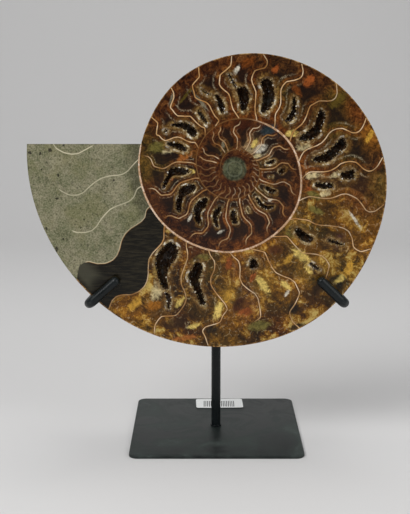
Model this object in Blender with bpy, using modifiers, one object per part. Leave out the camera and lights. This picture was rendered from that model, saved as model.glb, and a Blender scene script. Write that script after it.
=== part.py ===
"""Half of a fossil ammonite on a black metal stand, life size.

Metres, +Z up. The origin is the middle of the base plate's underside, and
the fossil's sawn and polished face looks along -Y.

The fossil is described by its growth angle in degrees: it grows clockwise
as the polished face shows it, one turn is 360 degrees, and a point of the
face lies between the inner wall of its whorl (across 0) and the outer wall
(across 1).
"""
import math
import random

import bmesh
import bpy

MM = 0.001

# Base plate
PLATE_SIDE = 125.0 * MM
PLATE_THICKNESS = 2.0 * MM
PLATE_CORNER = 6.5 * MM
PLATE_EDGE = 0.35 * MM

# Rods of the stand
ROD_RADIUS = 3.5 * MM
ROD_CHAMFER = 0.6 * MM
POST_TOP = 172.0 * MM
HUB_HEIGHT = 167.5 * MM
CLAW_PLANE_Y = -42.5 * MM
TOUCH_GAP = 0.3 * MM

# Label on the plate
LABEL_SIZE = (37.5 * MM, 21.0 * MM)
LABEL_THICKNESS = 0.2 * MM
LABEL_CORNER = 2.0 * MM
LABEL_PLACE = (3.3 * MM, 49.2 * MM)
LABEL_TURN = 1.5

# Fossil
FACE_Y = -38.0 * MM
CENTRE_X = 12.1 * MM
CENTRE_Z = 202.7 * MM
CUT_Z = 220.0 * MM
CUT_DIP = 0.12
GROWTH_START = 914.9
COLUMN_STEP = 6.0
COLUMNS = 60
INNER_COLUMNS = 120
THICKNESS_RATIO = 0.235
SEAM_RATIO = 0.4
RIB_HEIGHT = 0.55 * MM

# Radius of the spiral wall in millimetres, one value for each 30 degrees
# of growth, from the first chamber outward. The last one lies past the cut.
WALL_STEP = 30.0
WALL_RADIUS_MM = (
    6.2, 6.9, 7.5, 8.0, 8.5, 9.0, 9.5, 10.6, 12.1, 13.4, 14.5, 15.4,
    17.1, 18.5, 19.9, 20.9, 22.1, 24.1, 26.1, 28.6, 31.6, 34.4, 37.0, 41.3,
    45.3, 50.5, 54.1, 58.3, 60.4, 63.4, 66.0, 67.5, 72.3, 77.8, 84.6, 94.1,
    104.6, 111.8, 121.6, 127.2, 132.4, 137.0, 143.0, 146.5,
)

# Flank of the shell behind the face. Each pair is a place between the
# umbilical seam and the shoulder, or the shoulder and the rim, with the
# height there as a share of the whorl's half thickness.
SHOULDER = ((0.0, None), (0.3, 0.84), (1.0, 0.98))
FLANK = ((0.25, 0.985), (0.5, 0.88), (0.72, 0.68), (0.9, 0.42), (1.0, 0.0))
RIB_STRENGTH = (0.0, 0.2, 0.5, 1.0, 1.0, 1.0, 0.7, 0.0)

# Open chambers in the face, from the rim side to the inner side. Each
# station is (across, left growth angle, right growth angle).
CHAMBERS = {
    "second_whorl_a": (
        (0.45, 706.0, 710.5), (0.36, 706.0, 712.8), (0.27, 706.5, 713.0), (0.2, 707.5, 712.0),
    ),
    "second_whorl_b": ((0.62, 719.0, 723.0), (0.55, 719.5, 727.0), (0.47, 721.0, 727.0)),
    "second_whorl_c": (
        (0.46, 746.5, 751.5), (0.36, 747.5, 754.5), (0.27, 747.3, 754.5), (0.19, 749.0, 753.0),
    ),
    "second_whorl_d": (
        (0.58, 762.0, 765.5), (0.5, 765.5, 772.5), (0.42, 769.3, 775.2), (0.32, 770.3, 776.2),
        (0.23, 769.8, 776.2), (0.17, 771.0, 774.5),
    ),
    "second_whorl_e": (
        (0.47, 805.5, 811.5), (0.38, 806.3, 814.2), (0.3, 806.8, 815.2), (0.21, 808.5, 813.8),
    ),
    "second_whorl_f": (
        (0.56, 824.0, 827.5), (0.48, 826.3, 831.5), (0.4, 827.8, 834.5), (0.3, 827.8, 836.0),
        (0.22, 827.0, 835.2), (0.16, 828.5, 832.8),
    ),
    "second_whorl_g": (
        (0.62, 840.5, 844.8), (0.54, 842.0, 850.6), (0.44, 846.4, 855.6), (0.34, 847.0, 858.3),
        (0.25, 846.3, 858.4), (0.18, 848.5, 857.5), (0.13, 850.5, 855.0),
    ),
    "second_whorl_h": (
        (0.66, 861.0, 866.0), (0.6, 861.5, 869.5), (0.52, 865.5, 873.5), (0.44, 869.0, 878.0),
        (0.36, 870.8, 881.6), (0.24, 870.0, 882.0), (0.13, 873.0, 879.5),
    ),
    "second_whorl_i": (
        (0.66, 884.0, 887.5), (0.57, 886.5, 892.7), (0.49, 891.0, 899.0), (0.41, 893.4, 901.8),
        (0.26, 892.4, 902.0), (0.14, 895.0, 899.6),
    ),
    "last_whorl_a": ((0.56, 919.5, 922.0), (0.45, 919.0, 924.5), (0.32, 918.5, 925.5), (0.2, 919.2, 924.3)),
    "last_whorl_b": (
        (0.6, 934.0, 936.5), (0.5, 935.7, 941.0), (0.4, 937.3, 944.3), (0.3, 937.0, 945.5),
        (0.2, 936.7, 945.8), (0.14, 939.0, 943.5),
    ),
    "last_whorl_c": ((0.4, 956.6, 959.0), (0.3, 956.0, 960.3), (0.2, 955.8, 960.6), (0.12, 956.8, 959.8)),
    "last_whorl_d": (
        (0.46, 974.2, 976.8), (0.38, 974.8, 979.2), (0.28, 975.0, 981.1), (0.2, 975.3, 981.0),
        (0.14, 976.5, 979.7),
    ),
    "last_whorl_e": (
        (0.49, 990.5, 997.0), (0.4, 991.5, 1001.0), (0.3, 993.0, 1002.0), (0.2, 994.3, 1001.8),
        (0.12, 996.0, 1000.2),
    ),
    "last_whorl_f": (
        (0.64, 1007.5, 1012.5), (0.55, 1006.2, 1015.2), (0.45, 1009.3, 1018.2), (0.35, 1010.8, 1020.3),
        (0.25, 1012.3, 1020.4), (0.14, 1014.2, 1019.0),
    ),
    "last_whorl_g": (
        (0.52, 1028.5, 1031.2), (0.42, 1031.0, 1035.0), (0.32, 1034.0, 1038.7), (0.24, 1034.7, 1040.0),
        (0.17, 1035.5, 1039.0),
    ),
    "last_whorl_h": (
        (0.6, 1045.0, 1049.5), (0.5, 1047.0, 1053.0), (0.4, 1050.8, 1057.2), (0.3, 1052.0, 1059.4),
        (0.21, 1052.6, 1059.1), (0.13, 1054.0, 1057.8),
    ),
    "last_whorl_i": (
        (0.62, 1063.3, 1068.7), (0.52, 1065.0, 1071.0), (0.42, 1067.5, 1074.2), (0.32, 1070.0, 1076.2),
        (0.23, 1070.7, 1075.9), (0.17, 1071.8, 1074.9),
    ),
    "last_whorl_j": ((0.63, 1080.3, 1084.5), (0.55, 1080.8, 1085.6), (0.47, 1082.0, 1085.2)),
    "last_whorl_k": (
        (0.38, 1088.3, 1090.8), (0.3, 1088.5, 1092.6), (0.22, 1088.8, 1093.1), (0.16, 1089.5, 1092.2),
    ),
    "last_whorl_l": (
        (0.35, 1121.0, 1124.2), (0.27, 1121.5, 1126.7), (0.2, 1121.8, 1127.1), (0.13, 1123.0, 1126.2),
    ),
    "last_whorl_m": ((0.22, 1155.8, 1160.6), (0.17, 1156.0, 1161.1), (0.115, 1157.0, 1160.3)),
    "last_whorl_n": (
        (0.57, 1181.3, 1184.0), (0.48, 1183.0, 1186.7), (0.4, 1185.2, 1190.2), (0.32, 1186.8, 1193.2),
        (0.24, 1186.8, 1193.2), (0.16, 1188.0, 1192.2),
    ),
    "last_whorl_o": (
        (0.52, 1198.2, 1201.8), (0.42, 1201.2, 1206.7), (0.34, 1202.6, 1210.6), (0.26, 1202.8, 1212.1),
        (0.17, 1202.7, 1212.4), (0.09, 1206.0, 1211.2),
    ),
}

# The wide chambers have a lining of calcite crystals.
CRYSTAL_CHAMBERS = (
    "second_whorl_g", "second_whorl_h", "last_whorl_e", "last_whorl_f",
    "last_whorl_h", "last_whorl_i", "last_whorl_n", "last_whorl_o",
)
PIT_RINGS = ((0.32, 0.93), (0.75, 0.72), (1.0, 0.42))
PIT_DEPTH_PER_WIDTH = 0.85
PIT_DEPTH_RANGE = (2.6, 8.0)
CRUST_GAP = 0.45
CRUST_RINGS = ((0.32, 0.6), (0.62, 0.36), (0.78, 0.12))
CRUST_POINTS = 0.16


def clear_scene():
    for old in list(bpy.data.objects):
        bpy.data.objects.remove(old, do_unlink=True)


def new_collection(name):
    group = bpy.data.collections.new(name)
    bpy.context.scene.collection.children.link(group)
    return group


def new_material(name, colour, roughness, metallic=0.0):
    material = bpy.data.materials.new(name)
    material.use_nodes = True
    shader = material.node_tree.nodes["Principled BSDF"]
    shader.inputs["Base Color"].default_value = (*colour, 1.0)
    shader.inputs["Roughness"].default_value = roughness
    shader.inputs["Metallic"].default_value = metallic
    return material


def mesh_object(name, bm, group, material):
    bmesh.ops.recalc_face_normals(bm, faces=bm.faces[:])
    mesh = bpy.data.meshes.new(name)
    bm.to_mesh(mesh)
    bm.free()
    mesh.materials.append(material)
    piece = bpy.data.objects.new(name, mesh)
    group.objects.link(piece)
    return piece


def blend(a, b, share):
    return a + (b - a) * share


def catmull_rom(p0, p1, p2, p3, u):
    """Value between p1 and p2 of the smooth curve through four values."""
    return 0.5 * (
        2.0 * p1 + (p2 - p0) * u
        + (2.0 * p0 - 5.0 * p1 + 4.0 * p2 - p3) * u * u
        + (3.0 * p1 - p0 - 3.0 * p2 + p3) * u ** 3
    )


def wall_radius(growth):
    """Radius of the spiral wall at a growth angle, in metres."""
    last = len(WALL_RADIUS_MM) - 1
    logs = [math.log(value) for value in WALL_RADIUS_MM]
    place = growth / WALL_STEP
    if place <= 0.0:
        slope = (logs[12] - logs[0]) / 12.0
        return math.exp(logs[0] + slope * place) * MM
    cell = min(int(place), last - 1)
    before = logs[max(cell - 1, 0)]
    after = logs[cell + 2] if cell + 2 <= last else 2.0 * logs[last] - logs[last - 1]
    return math.exp(catmull_rom(before, logs[cell], logs[cell + 1], after, place - cell)) * MM


def seam_radius(growth):
    """Radius of the umbilical seam on the back, in metres."""
    return SEAM_RATIO * wall_radius(growth - 360.0)


def face_place(angle, radius):
    """X and Z of a point of the face, from its clockwise angle in degrees."""
    turn = math.radians(angle)
    return CENTRE_X + radius * math.cos(turn), CENTRE_Z - radius * math.sin(turn)


def cut_angle(radius, depth=0.0):
    """Angle at which the end cut crosses this radius, this deep behind the face."""
    height = CUT_Z - CUT_DIP * depth - CENTRE_Z
    return 180.0 + math.degrees(math.asin(height / radius))


def end_growth():
    """Growth angle at which the end cut meets the outer wall."""
    angle = 187.0
    for _ in range(8):
        angle = cut_angle(wall_radius(angle + 1080.0))
    return angle + 1080.0


def ease(progress):
    return progress * progress * (3.0 - 2.0 * progress)


def rim_growth(column):
    """Growth angle of the rim on a column of the last whorl."""
    growth = GROWTH_START + COLUMN_STEP * column
    if column <= 0:
        return growth
    return growth + (end_growth() - GROWTH_START - 360.0) * ease(column / COLUMNS)


def row_radius(growth, growth_at_rim, row):
    """Distance of a row of the back from the spiral's centre."""
    shoulder = seam_radius(growth + 360.0)
    if row < len(SHOULDER):
        return blend(seam_radius(growth), shoulder, SHOULDER[row][0])
    return blend(shoulder, wall_radius(growth_at_rim), FLANK[row - len(SHOULDER)][0])


def flank_depth(growth, row):
    """Depth of a row of the back behind the face, without its ribs."""
    if row == 0:
        return SHOULDER[2][1] * THICKNESS_RATIO * wall_radius(growth - 360.0)
    return (SHOULDER + FLANK)[row][1] * THICKNESS_RATIO * wall_radius(growth)


def flank_point(column, row):
    """Place and height of one point of the ribbed back of the shell."""
    growth = GROWTH_START + COLUMN_STEP * column
    finish = GROWTH_START + 360.0
    depth = flank_depth(growth, row)

    # The columns lean so that the first and the last lie in the end cut.
    nominal = GROWTH_START - 720.0
    inner_lean = cut_angle(seam_radius(finish), flank_depth(finish, 0)) - nominal
    lean = inner_lean
    if column >= 0 and row >= 1:
        first = row_radius(GROWTH_START, GROWTH_START, row)
        last = row_radius(finish, end_growth(), row)
        first_lean = inner_lean if row <= 2 else cut_angle(first, flank_depth(GROWTH_START, row)) - nominal
        last_lean = cut_angle(last, flank_depth(finish, row)) - nominal
        lean = blend(first_lean, last_lean, ease(column / COLUMNS))
    if 0 < column < COLUMNS:
        side = 1.0 if column % 2 else -1.0
        depth += side * RIB_STRENGTH[row] * RIB_HEIGHT * wall_radius(growth) / (120.0 * MM)
    x, z = face_place(growth + lean, row_radius(growth, rim_growth(column), row))
    return x, FACE_Y + depth, z


def fossil_body(group, material):
    """The uncut half: flat face, ribbed back and the sawn end."""
    bm = bmesh.new()
    points = {}
    rows = len(SHOULDER) + len(FLANK)

    def point(column, row):
        if row == 2 and column <= 0:
            column, row = column + COLUMNS, 0
        key = (column, row)
        if key not in points:
            points[key] = bm.verts.new(flank_point(column, row))
        return points[key]

    for column in range(-INNER_COLUMNS, COLUMNS):
        top = 2 if column < 0 else rows - 1
        for row in range(top):
            corners = [point(column, row), point(column, row + 1),
                       point(column + 1, row + 1), point(column + 1, row)]
            bm.faces.new(corners)

    # Middle of the umbilicus
    x, z = CENTRE_X, CENTRE_Z
    middle = bm.verts.new((x, FACE_Y + 2.0 * MM, z))
    ring = [point(column, 0) for column in range(-INNER_COLUMNS, -COLUMNS + 1)]
    ring.append(point(-INNER_COLUMNS, 1))
    for first, second in zip(ring, ring[1:] + ring[:1]):
        bm.faces.new((first, second, middle))

    rim = [point(column, rows - 1) for column in range(COLUMNS + 1)]
    bm.faces.new(rim)
    end = [point(COLUMNS, row) for row in range(rows)]
    end += [point(0, row) for row in range(rows - 1, 2, -1)]
    bm.faces.new(end)
    body = mesh_object("ammonite_half", bm, group, material)
    body.data.shade_smooth()
    body.data.set_sharp_from_angle(angle=math.radians(38.0))
    return body


def whorl_place(growth, across):
    """X, Z and radius of a face point between its whorl's two walls."""
    radius = blend(wall_radius(growth - 360.0), wall_radius(growth), across)
    x, z = face_place(growth, radius)
    return x, z, radius


def station_at(stations, across):
    """Left and right growth angle of a chamber at any place across."""
    for upper, lower in zip(stations, stations[1:]):
        if lower[0] <= across <= upper[0]:
            share = (upper[0] - across) / (upper[0] - lower[0])
            return blend(upper[1], lower[1], share), blend(upper[2], lower[2], share)
    nearest = stations[0] if across > stations[0][0] else stations[-1]
    return nearest[1], nearest[2]


def chamber_ring(stations, scale, wobble=None):
    """Outline of a chamber, shrunk toward its own middle line by a scale."""
    high, low = stations[0][0], stations[-1][0]
    middle = 0.5 * (high + low)
    left_side, right_side = [], []
    for across, _, _ in stations:
        place = middle + (across - middle) * scale
        left, right = station_at(stations, place)
        centre, half = 0.5 * (left + right), 0.5 * (right - left) * scale
        _, _, radius = whorl_place(centre, place)
        per_degree = math.radians(1.0) * radius / MM
        for side, row in ((-1.0, left_side), (1.0, right_side)):
            extra = wobble() / per_degree if wobble else 0.0
            x, z, _ = whorl_place(centre + side * max(half - extra, 0.1 / per_degree), place)
            row.append((x, z))
    return right_side + left_side[::-1]


def inset_ring(ring, distance):
    """The same outline moved inward by one distance all round."""
    area = sum(a[0] * b[1] - b[0] * a[1] for a, b in zip(ring, ring[1:] + ring[:1]))
    turn = 1.0 if area > 0.0 else -1.0
    inside = []
    for index, (x, z) in enumerate(ring):
        before, after = ring[index - 1], ring[(index + 1) % len(ring)]
        normals = []
        for (ax, az), (bx, bz) in ((before, (x, z)), ((x, z), after)):
            length = math.hypot(bx - ax, bz - az)
            normals.append((-(bz - az) * turn / length, (bx - ax) * turn / length))
        mx, mz = normals[0][0] + normals[1][0], normals[0][1] + normals[1][1]
        size = max(math.hypot(mx, mz), 0.9)
        reach = 2.0 * distance / size ** 2
        inside.append((x + mx * reach, z + mz * reach))
    return inside


def chamber_depth(stations):
    """Depth in mm: wide chambers are open deeper than narrow ones."""
    widths = []
    for across, left, right in stations:
        _, _, radius = whorl_place(0.5 * (left + right), across)
        widths.append(math.radians(right - left) * radius / MM)
    low, high = PIT_DEPTH_RANGE
    return min(max(max(widths) * PIT_DEPTH_PER_WIDTH, low), high)


def loft_rings(bm, rings):
    """Skin a closed body over rings of (x, y, z) points of equal length."""
    loops = [[bm.verts.new(place) for place in ring] for ring in rings]
    for lower, upper in zip(loops, loops[1:]):
        for index in range(len(lower)):
            after = (index + 1) % len(lower)
            bm.faces.new((lower[index], lower[after], upper[after]))
            bm.faces.new((lower[index], upper[after], upper[index]))
    bm.faces.new(loops[0][::-1])
    bm.faces.new(loops[-1])


def pit_cutter(name, stations, group, material):
    depth = chamber_depth(stations)
    rings = [[(x, FACE_Y - 1.0 * MM, z) for x, z in chamber_ring(stations, 1.0)]]
    for level, scale in PIT_RINGS:
        outline = chamber_ring(stations, scale)
        rings.append([(x, FACE_Y + level * depth * MM, z) for x, z in outline])
    bm = bmesh.new()
    loft_rings(bm, rings)
    cutter = mesh_object("cutter_" + name, bm, group, material)
    cutter.hide_render = True
    cutter.display_type = "WIRE"
    return cutter


def crystal_crust(name, stations, group, material, seed):
    """Bowl of grown-together crystals that lines one open chamber."""
    depth = chamber_depth(stations)
    dice = random.Random(seed)

    def points():
        return dice.uniform(-CRUST_POINTS, CRUST_POINTS)

    rings = []
    for step, (level, scale) in enumerate(CRUST_RINGS):
        outline = chamber_ring(stations, scale, points if step else None)
        lift = [points() * MM if step else 0.0 for _ in outline]
        rings.insert(0, [(x, FACE_Y + level * depth * MM + rise, z)
                         for (x, z), rise in zip(outline, lift)])
    for level, scale in PIT_RINGS:
        outline = inset_ring(chamber_ring(stations, scale), CRUST_GAP * MM)
        sunk = min(level * depth, depth - CRUST_GAP)
        rings.append([(x, FACE_Y + sunk * MM, z) for x, z in outline])
    bm = bmesh.new()
    loft_rings(bm, rings)
    return mesh_object(name, bm, group, material)


def base_plate(group, material):
    bm = bmesh.new()
    bmesh.ops.create_cube(bm, size=1.0)
    bmesh.ops.scale(bm, vec=(PLATE_SIDE, PLATE_SIDE, PLATE_THICKNESS), verts=bm.verts)
    upright = [edge for edge in bm.edges
               if abs(edge.verts[0].co.z - edge.verts[1].co.z) > PLATE_THICKNESS * 0.5]
    bmesh.ops.bevel(bm, geom=upright, offset=PLATE_CORNER, segments=5, profile=0.5, affect="EDGES")
    plate = mesh_object("base_plate", bm, group, material)
    plate.location = (0.0, 0.0, PLATE_THICKNESS / 2.0)
    edge = plate.modifiers.new("softened_edge", "BEVEL")
    edge.width = PLATE_EDGE
    edge.segments = 1
    edge.limit_method = "ANGLE"
    edge.angle_limit = math.radians(50.0)
    return plate


def post(group, material):
    bottom = PLATE_THICKNESS + TOUCH_GAP
    bm = bmesh.new()
    bmesh.ops.create_cone(bm, cap_ends=True, segments=20, radius1=ROD_RADIUS,
                          radius2=ROD_RADIUS, depth=POST_TOP - bottom)
    rod = mesh_object("post", bm, group, material)
    rod.location = (0.0, 0.0, 0.5 * (POST_TOP + bottom))
    edge = rod.modifiers.new("chamfered_ends", "BEVEL")
    edge.width = ROD_CHAMFER
    edge.segments = 1
    edge.limit_method = "ANGLE"
    edge.angle_limit = math.radians(50.0)
    rod.data.shade_smooth()
    rod.data.set_sharp_from_angle(angle=math.radians(35.0))
    return rod


def arm_route(side, slope, bend_reach, claw_slope, claw_length):
    """Centre line of one arm, from the post round the rim to the claw's tip.

    Reach is the distance from the post's axis along the arm's slope, and
    each knot is a (reach, y) pair in millimetres. The claw leaves the bend
    on a steeper slope of its own.
    """
    knots = [(22.0, -1.0), (40.0, -2.1), (58.0, -4.4), (74.0, -8.0), (88.0, -13.6),
             (bend_reach - 11.5, -20.0), (bend_reach - 3.6, -28.0)]
    run = math.radians(slope)
    across, drop = math.cos(run), math.sin(run)
    fold = math.radians(claw_slope)

    def place(reach, y):
        return side * reach * MM * across, y * MM, 170.0 * MM - reach * MM * drop

    def claw(inward, y):
        x, _, z = place(bend_reach, y)
        return x - side * inward * MM * math.cos(fold), y * MM, z + inward * MM * math.sin(fold)

    start = ROD_RADIUS + TOUCH_GAP
    route = [(side * start, 0.0, HUB_HEIGHT), (side * (start + 4.0 * MM), 0.0, HUB_HEIGHT - 0.6 * MM),
             (side * (start + 8.5 * MM), -0.2 * MM, HUB_HEIGHT - 4.2 * MM)]
    route += [place(reach, y) for reach, y in knots]

    # The claw folds over the rim in a tight bend and lies on the face.
    bend = 5.0
    front = CLAW_PLANE_Y / MM
    for turn in (0.0, 22.5, 45.0, 67.5, 90.0):
        angle = math.radians(turn)
        route.append(claw(bend - bend * math.cos(angle), front + bend - bend * math.sin(angle)))
    route.append(claw(blend(bend, claw_length, 0.5), front))
    route.append(claw(claw_length, front))
    return route


def smooth_route(knots, steps):
    """Points of a smooth curve through the knots."""
    ends = [[2.0 * a - b for a, b in zip(knots[0], knots[1])],
            [2.0 * a - b for a, b in zip(knots[-1], knots[-2])]]
    line = [ends[0]] + [list(knot) for knot in knots] + [ends[1]]
    route = []
    for index in range(1, len(line) - 2):
        for step in range(steps):
            part = [line[index + offset] for offset in (-1, 0, 1, 2)]
            route.append([catmull_rom(*axis, step / steps) for axis in zip(*part)])
    route.append(list(knots[-1]))
    return route


def arm(name, group, material, side, slope, bend_reach, claw_slope, claw_length):
    curve = bpy.data.curves.new(name, "CURVE")
    curve.dimensions = "3D"
    curve.bevel_depth = ROD_RADIUS
    curve.bevel_resolution = 3
    curve.use_fill_caps = True
    route = smooth_route(arm_route(side, slope, bend_reach, claw_slope, claw_length), 2)
    line = curve.splines.new("POLY")
    line.points.add(len(route) - 1)
    for knot, place in zip(line.points, route):
        knot.co = (*place, 1.0)
        knot.radius = 1.0
    curve.materials.append(material)
    rod = bpy.data.objects.new(name, curve)
    group.objects.link(rod)
    return rod


def label(group, material):
    wide, deep = LABEL_SIZE
    bm = bmesh.new()
    bmesh.ops.create_cube(bm, size=1.0)
    bmesh.ops.scale(bm, vec=(wide, deep, LABEL_THICKNESS), verts=bm.verts)
    upright = [edge for edge in bm.edges
               if abs(edge.verts[0].co.z - edge.verts[1].co.z) > LABEL_THICKNESS * 0.5]
    bmesh.ops.bevel(bm, geom=upright, offset=LABEL_CORNER, segments=3, profile=0.5, affect="EDGES")
    sheet = mesh_object("label", bm, group, material)
    sheet.location = (*LABEL_PLACE, PLATE_THICKNESS + TOUCH_GAP + LABEL_THICKNESS / 2.0)
    sheet.rotation_euler = (0.0, 0.0, math.radians(LABEL_TURN))
    return sheet


def build():
    clear_scene()
    parts = new_collection("ammonite_fossil_half_on_stand")
    cutters = new_collection("chamber_cutters")
    stone = new_material("polished_fossil", (0.16, 0.085, 0.04), 0.25)
    calcite = new_material("calcite_crystals", (0.42, 0.36, 0.28), 0.3)
    paint = new_material("black_paint", (0.035, 0.038, 0.034), 0.45)
    paper = new_material("label_paper", (0.82, 0.82, 0.8), 0.6)

    body = fossil_body(parts, stone)
    for name, stations in CHAMBERS.items():
        pit_cutter(name, stations, cutters, stone)
    hollow = body.modifiers.new("open_chambers", "BOOLEAN")
    hollow.operation = "DIFFERENCE"
    hollow.operand_type = "COLLECTION"
    hollow.collection = cutters
    hollow.solver = "EXACT"
    for number, name in enumerate(CRYSTAL_CHAMBERS, start=1):
        crystal_crust("chamber_crystals_%02d" % number, CHAMBERS[name], parts, calcite, number)

    base_plate(parts, paint)
    post(parts, paint)
    arm("left_arm", parts, paint, -1.0, slope=34.8, bend_reach=109.6, claw_slope=41.4, claw_length=27.8)
    arm("right_arm", parts, paint, 1.0, slope=34.6, bend_reach=109.5, claw_slope=44.1, claw_length=26.2)
    label(parts, paper)


build()
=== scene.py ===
# %% [markdown]
# # Half of a fossil ammonite on a black stand
# The object is one half of an ammonite, sawn through its middle and polished.
# It hangs in two claws bent from round rod, welded to a post on a square plate.
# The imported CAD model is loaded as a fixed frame. Every piece below is made in
# the same millimetres, so nothing has to be fitted afterwards.

# %% Load the frame
import math
import random

import bmesh
import bpy
import numpy as np
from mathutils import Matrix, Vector, geometry


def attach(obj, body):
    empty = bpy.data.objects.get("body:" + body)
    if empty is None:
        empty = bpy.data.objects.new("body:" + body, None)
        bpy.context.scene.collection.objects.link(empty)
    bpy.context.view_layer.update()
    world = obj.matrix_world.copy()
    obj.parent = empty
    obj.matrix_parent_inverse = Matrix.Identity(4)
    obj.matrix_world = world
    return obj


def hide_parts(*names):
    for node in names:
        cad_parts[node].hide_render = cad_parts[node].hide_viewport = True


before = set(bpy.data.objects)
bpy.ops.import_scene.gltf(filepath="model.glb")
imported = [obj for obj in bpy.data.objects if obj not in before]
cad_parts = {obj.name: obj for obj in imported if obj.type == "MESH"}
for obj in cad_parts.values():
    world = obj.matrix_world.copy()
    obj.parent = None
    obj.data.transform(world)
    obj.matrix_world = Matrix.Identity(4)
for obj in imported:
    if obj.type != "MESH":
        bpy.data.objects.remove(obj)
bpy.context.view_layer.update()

MM = 0.001

# %% [markdown]
# ## Camera
# The lens and tilt come from the plate's four corners in the photograph: a
# square of known size fixes them. The camera stands about 0.74 m in front of
# the fossil and looks down by 11 degrees. A vertical sensor fit keeps the
# framing when the picture's shape changes.

# %% The camera
CAMERA_PLACE = (-8.3 * MM, -775.0 * MM, 289.5 * MM)
CAMERA_PITCH = 11.42
LENS, SENSOR = 74.92, 36.0


def add_object(name, data):
    made = bpy.data.objects.new(name, data)
    bpy.context.collection.objects.link(made)
    return made


lens = bpy.data.cameras.new("camera")
lens.sensor_fit = "VERTICAL"
lens.sensor_height = lens.sensor_width = SENSOR
lens.lens = LENS
camera = add_object("camera", lens)
camera.location = CAMERA_PLACE
camera.rotation_euler = (math.radians(90.0 - CAMERA_PITCH), 0.0, 0.0)
bpy.context.scene.camera = camera
print("camera lens", LENS, "mm, tilt", CAMERA_PITCH, "degrees down")

# %% [markdown]
# ## Helpers for materials
# Every finish is a node tree. Wiring nodes by hand is wordy, so one class
# keeps a node's output as a value that can be added and multiplied like a
# number, and another adds the nodes. A value that is the same all over goes
# on the shader's own socket, because an exporter keeps it there.

# %% Values and colours
def screen_colour(red, green, blue):
    """A colour read on a screen, 0 to 255, as the light it stands for."""
    def lit(level):
        level /= 255.0
        return level / 12.92 if level <= 0.04045 else ((level + 0.055) / 1.055) ** 2.4
    return (lit(red), lit(green), lit(blue))


class Value:
    """The output of a node, for sums like those with numbers."""

    def __init__(self, finish, socket):
        self.finish, self.socket = finish, socket

    def __add__(self, other):
        return self.finish.math("ADD", self, other)

    def __sub__(self, other):
        return self.finish.math("SUBTRACT", self, other)

    def __rsub__(self, other):
        return self.finish.math("SUBTRACT", other, self)

    def __mul__(self, other):
        return self.finish.math("MULTIPLY", self, other)

    def __truediv__(self, other):
        return self.finish.math("DIVIDE", self, other)


print("a middle grey on screen is", round(screen_colour(128, 128, 128)[0], 3), "of full light")

# %% [markdown]
# A finish is one material. It has a short call for each kind of node that is
# used below: noise, cells, ramps, mixes and the measures kept on the mesh.

# %% Node helper
class Finish:
    """One procedural material and short calls that add nodes to it."""

    def __init__(self, name, roughness=0.5, specular=0.5):
        self.material = bpy.data.materials.new(name)
        self.material.use_nodes = True
        self.nodes = self.material.node_tree.nodes
        self.shader = self.nodes["Principled BSDF"]
        self.set("Roughness", roughness)
        self.set("Specular IOR Level", specular)

    def put(self, value, socket):
        """Links a value to a socket, or sets a number or a screen colour on it."""
        if isinstance(value, Value):
            self.material.node_tree.links.new(value.socket, socket)
        elif socket.type == "RGBA":
            socket.default_value = (*screen_colour(*value), 1.0)
        else:
            socket.default_value = value

    def set(self, socket, value):
        self.put(value, self.shader.inputs[socket])

    def add(self, kind, inputs=None, output=0, **settings):
        """Adds a node and returns one of its outputs."""
        node = self.nodes.new("ShaderNode" + kind)
        for key, setting in settings.items():
            setattr(node, key, setting)
        for key, value in (inputs or {}).items():
            self.put(value, node.inputs[key])
        return Value(self, node.outputs[output])

    def measure(self, name, output="Fac"):
        return self.add("Attribute", output=output, attribute_name=name)

    def place(self):
        """The point's own place on the object."""
        return self.add("TexCoord", output="Object")

    def axis(self, name):
        return self.add("SeparateXYZ", {0: self.place()}, name)

    def math(self, operation, a, b=0.0, c=0.0):
        return self.add("Math", {0: a, 1: b, 2: c}, operation=operation)

    def ramp(self, value, low, high, start=0.0, finish=1.0, smooth=True):
        """The value's place between low and high, mapped to start and finish."""
        inputs = dict(enumerate((value, low, high, start, finish)))
        kind = "SMOOTHSTEP" if smooth else "LINEAR"
        return self.add("MapRange", inputs, interpolation_type=kind)

    def mix(self, share, a, b, mode="MIX"):
        return self.add("Mix", {0: share, 6: a, 7: b}, 2, data_type="RGBA", blend_type=mode)

    def shaded(self, colour, light):
        """A measured colour, darker or lighter by a value."""
        grey = self.add("CombineColor", {0: light, 1: light, 2: light})
        return self.mix(1.0, self.measure(colour, "Color"), grey, "MULTIPLY")

    def noise(self, scale, detail=3.0, roughness=0.55, distortion=0.0, vector=None):
        inputs = {"Vector": vector or self.place(), "Scale": scale, "Detail": detail,
                  "Roughness": roughness, "Distortion": distortion}
        return self.add("TexNoise", inputs, "Fac")

    def bent_place(self, scale, amount):
        """The point's place, pushed about by a noise, for flowing patterns."""
        inputs = {"Vector": self.place(), "Scale": scale, "Detail": 2.0}
        push = self.add("TexNoise", inputs, "Color")
        inputs = {0: push, 1: (amount,) * 3, 2: self.place()}
        return self.add("VectorMath", inputs, operation="MULTIPLY_ADD")

    def cells(self, scale, vector=None, feature="F1"):
        inputs = {"Vector": vector or self.place(), "Scale": scale}
        return self.add("TexVoronoi", inputs, "Distance", feature=feature)

    def tones(self, value, *stops):
        """A colour for each value. A stop is a place and a screen colour."""
        tone = self.add("ValToRGB", {0: value})
        ramp = tone.socket.node.color_ramp
        while len(ramp.elements) < len(stops):
            ramp.elements.new(0.5)
        for element, (where, colour) in zip(ramp.elements, stops):
            element.position = where
            element.color = (*screen_colour(*colour), 1.0)
        return tone

    def bump(self, height, strength, distance):
        inputs = {"Height": height, "Strength": strength, "Distance": distance}
        self.set("Normal", self.add("Bump", inputs))


print("node helper ready")
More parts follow.
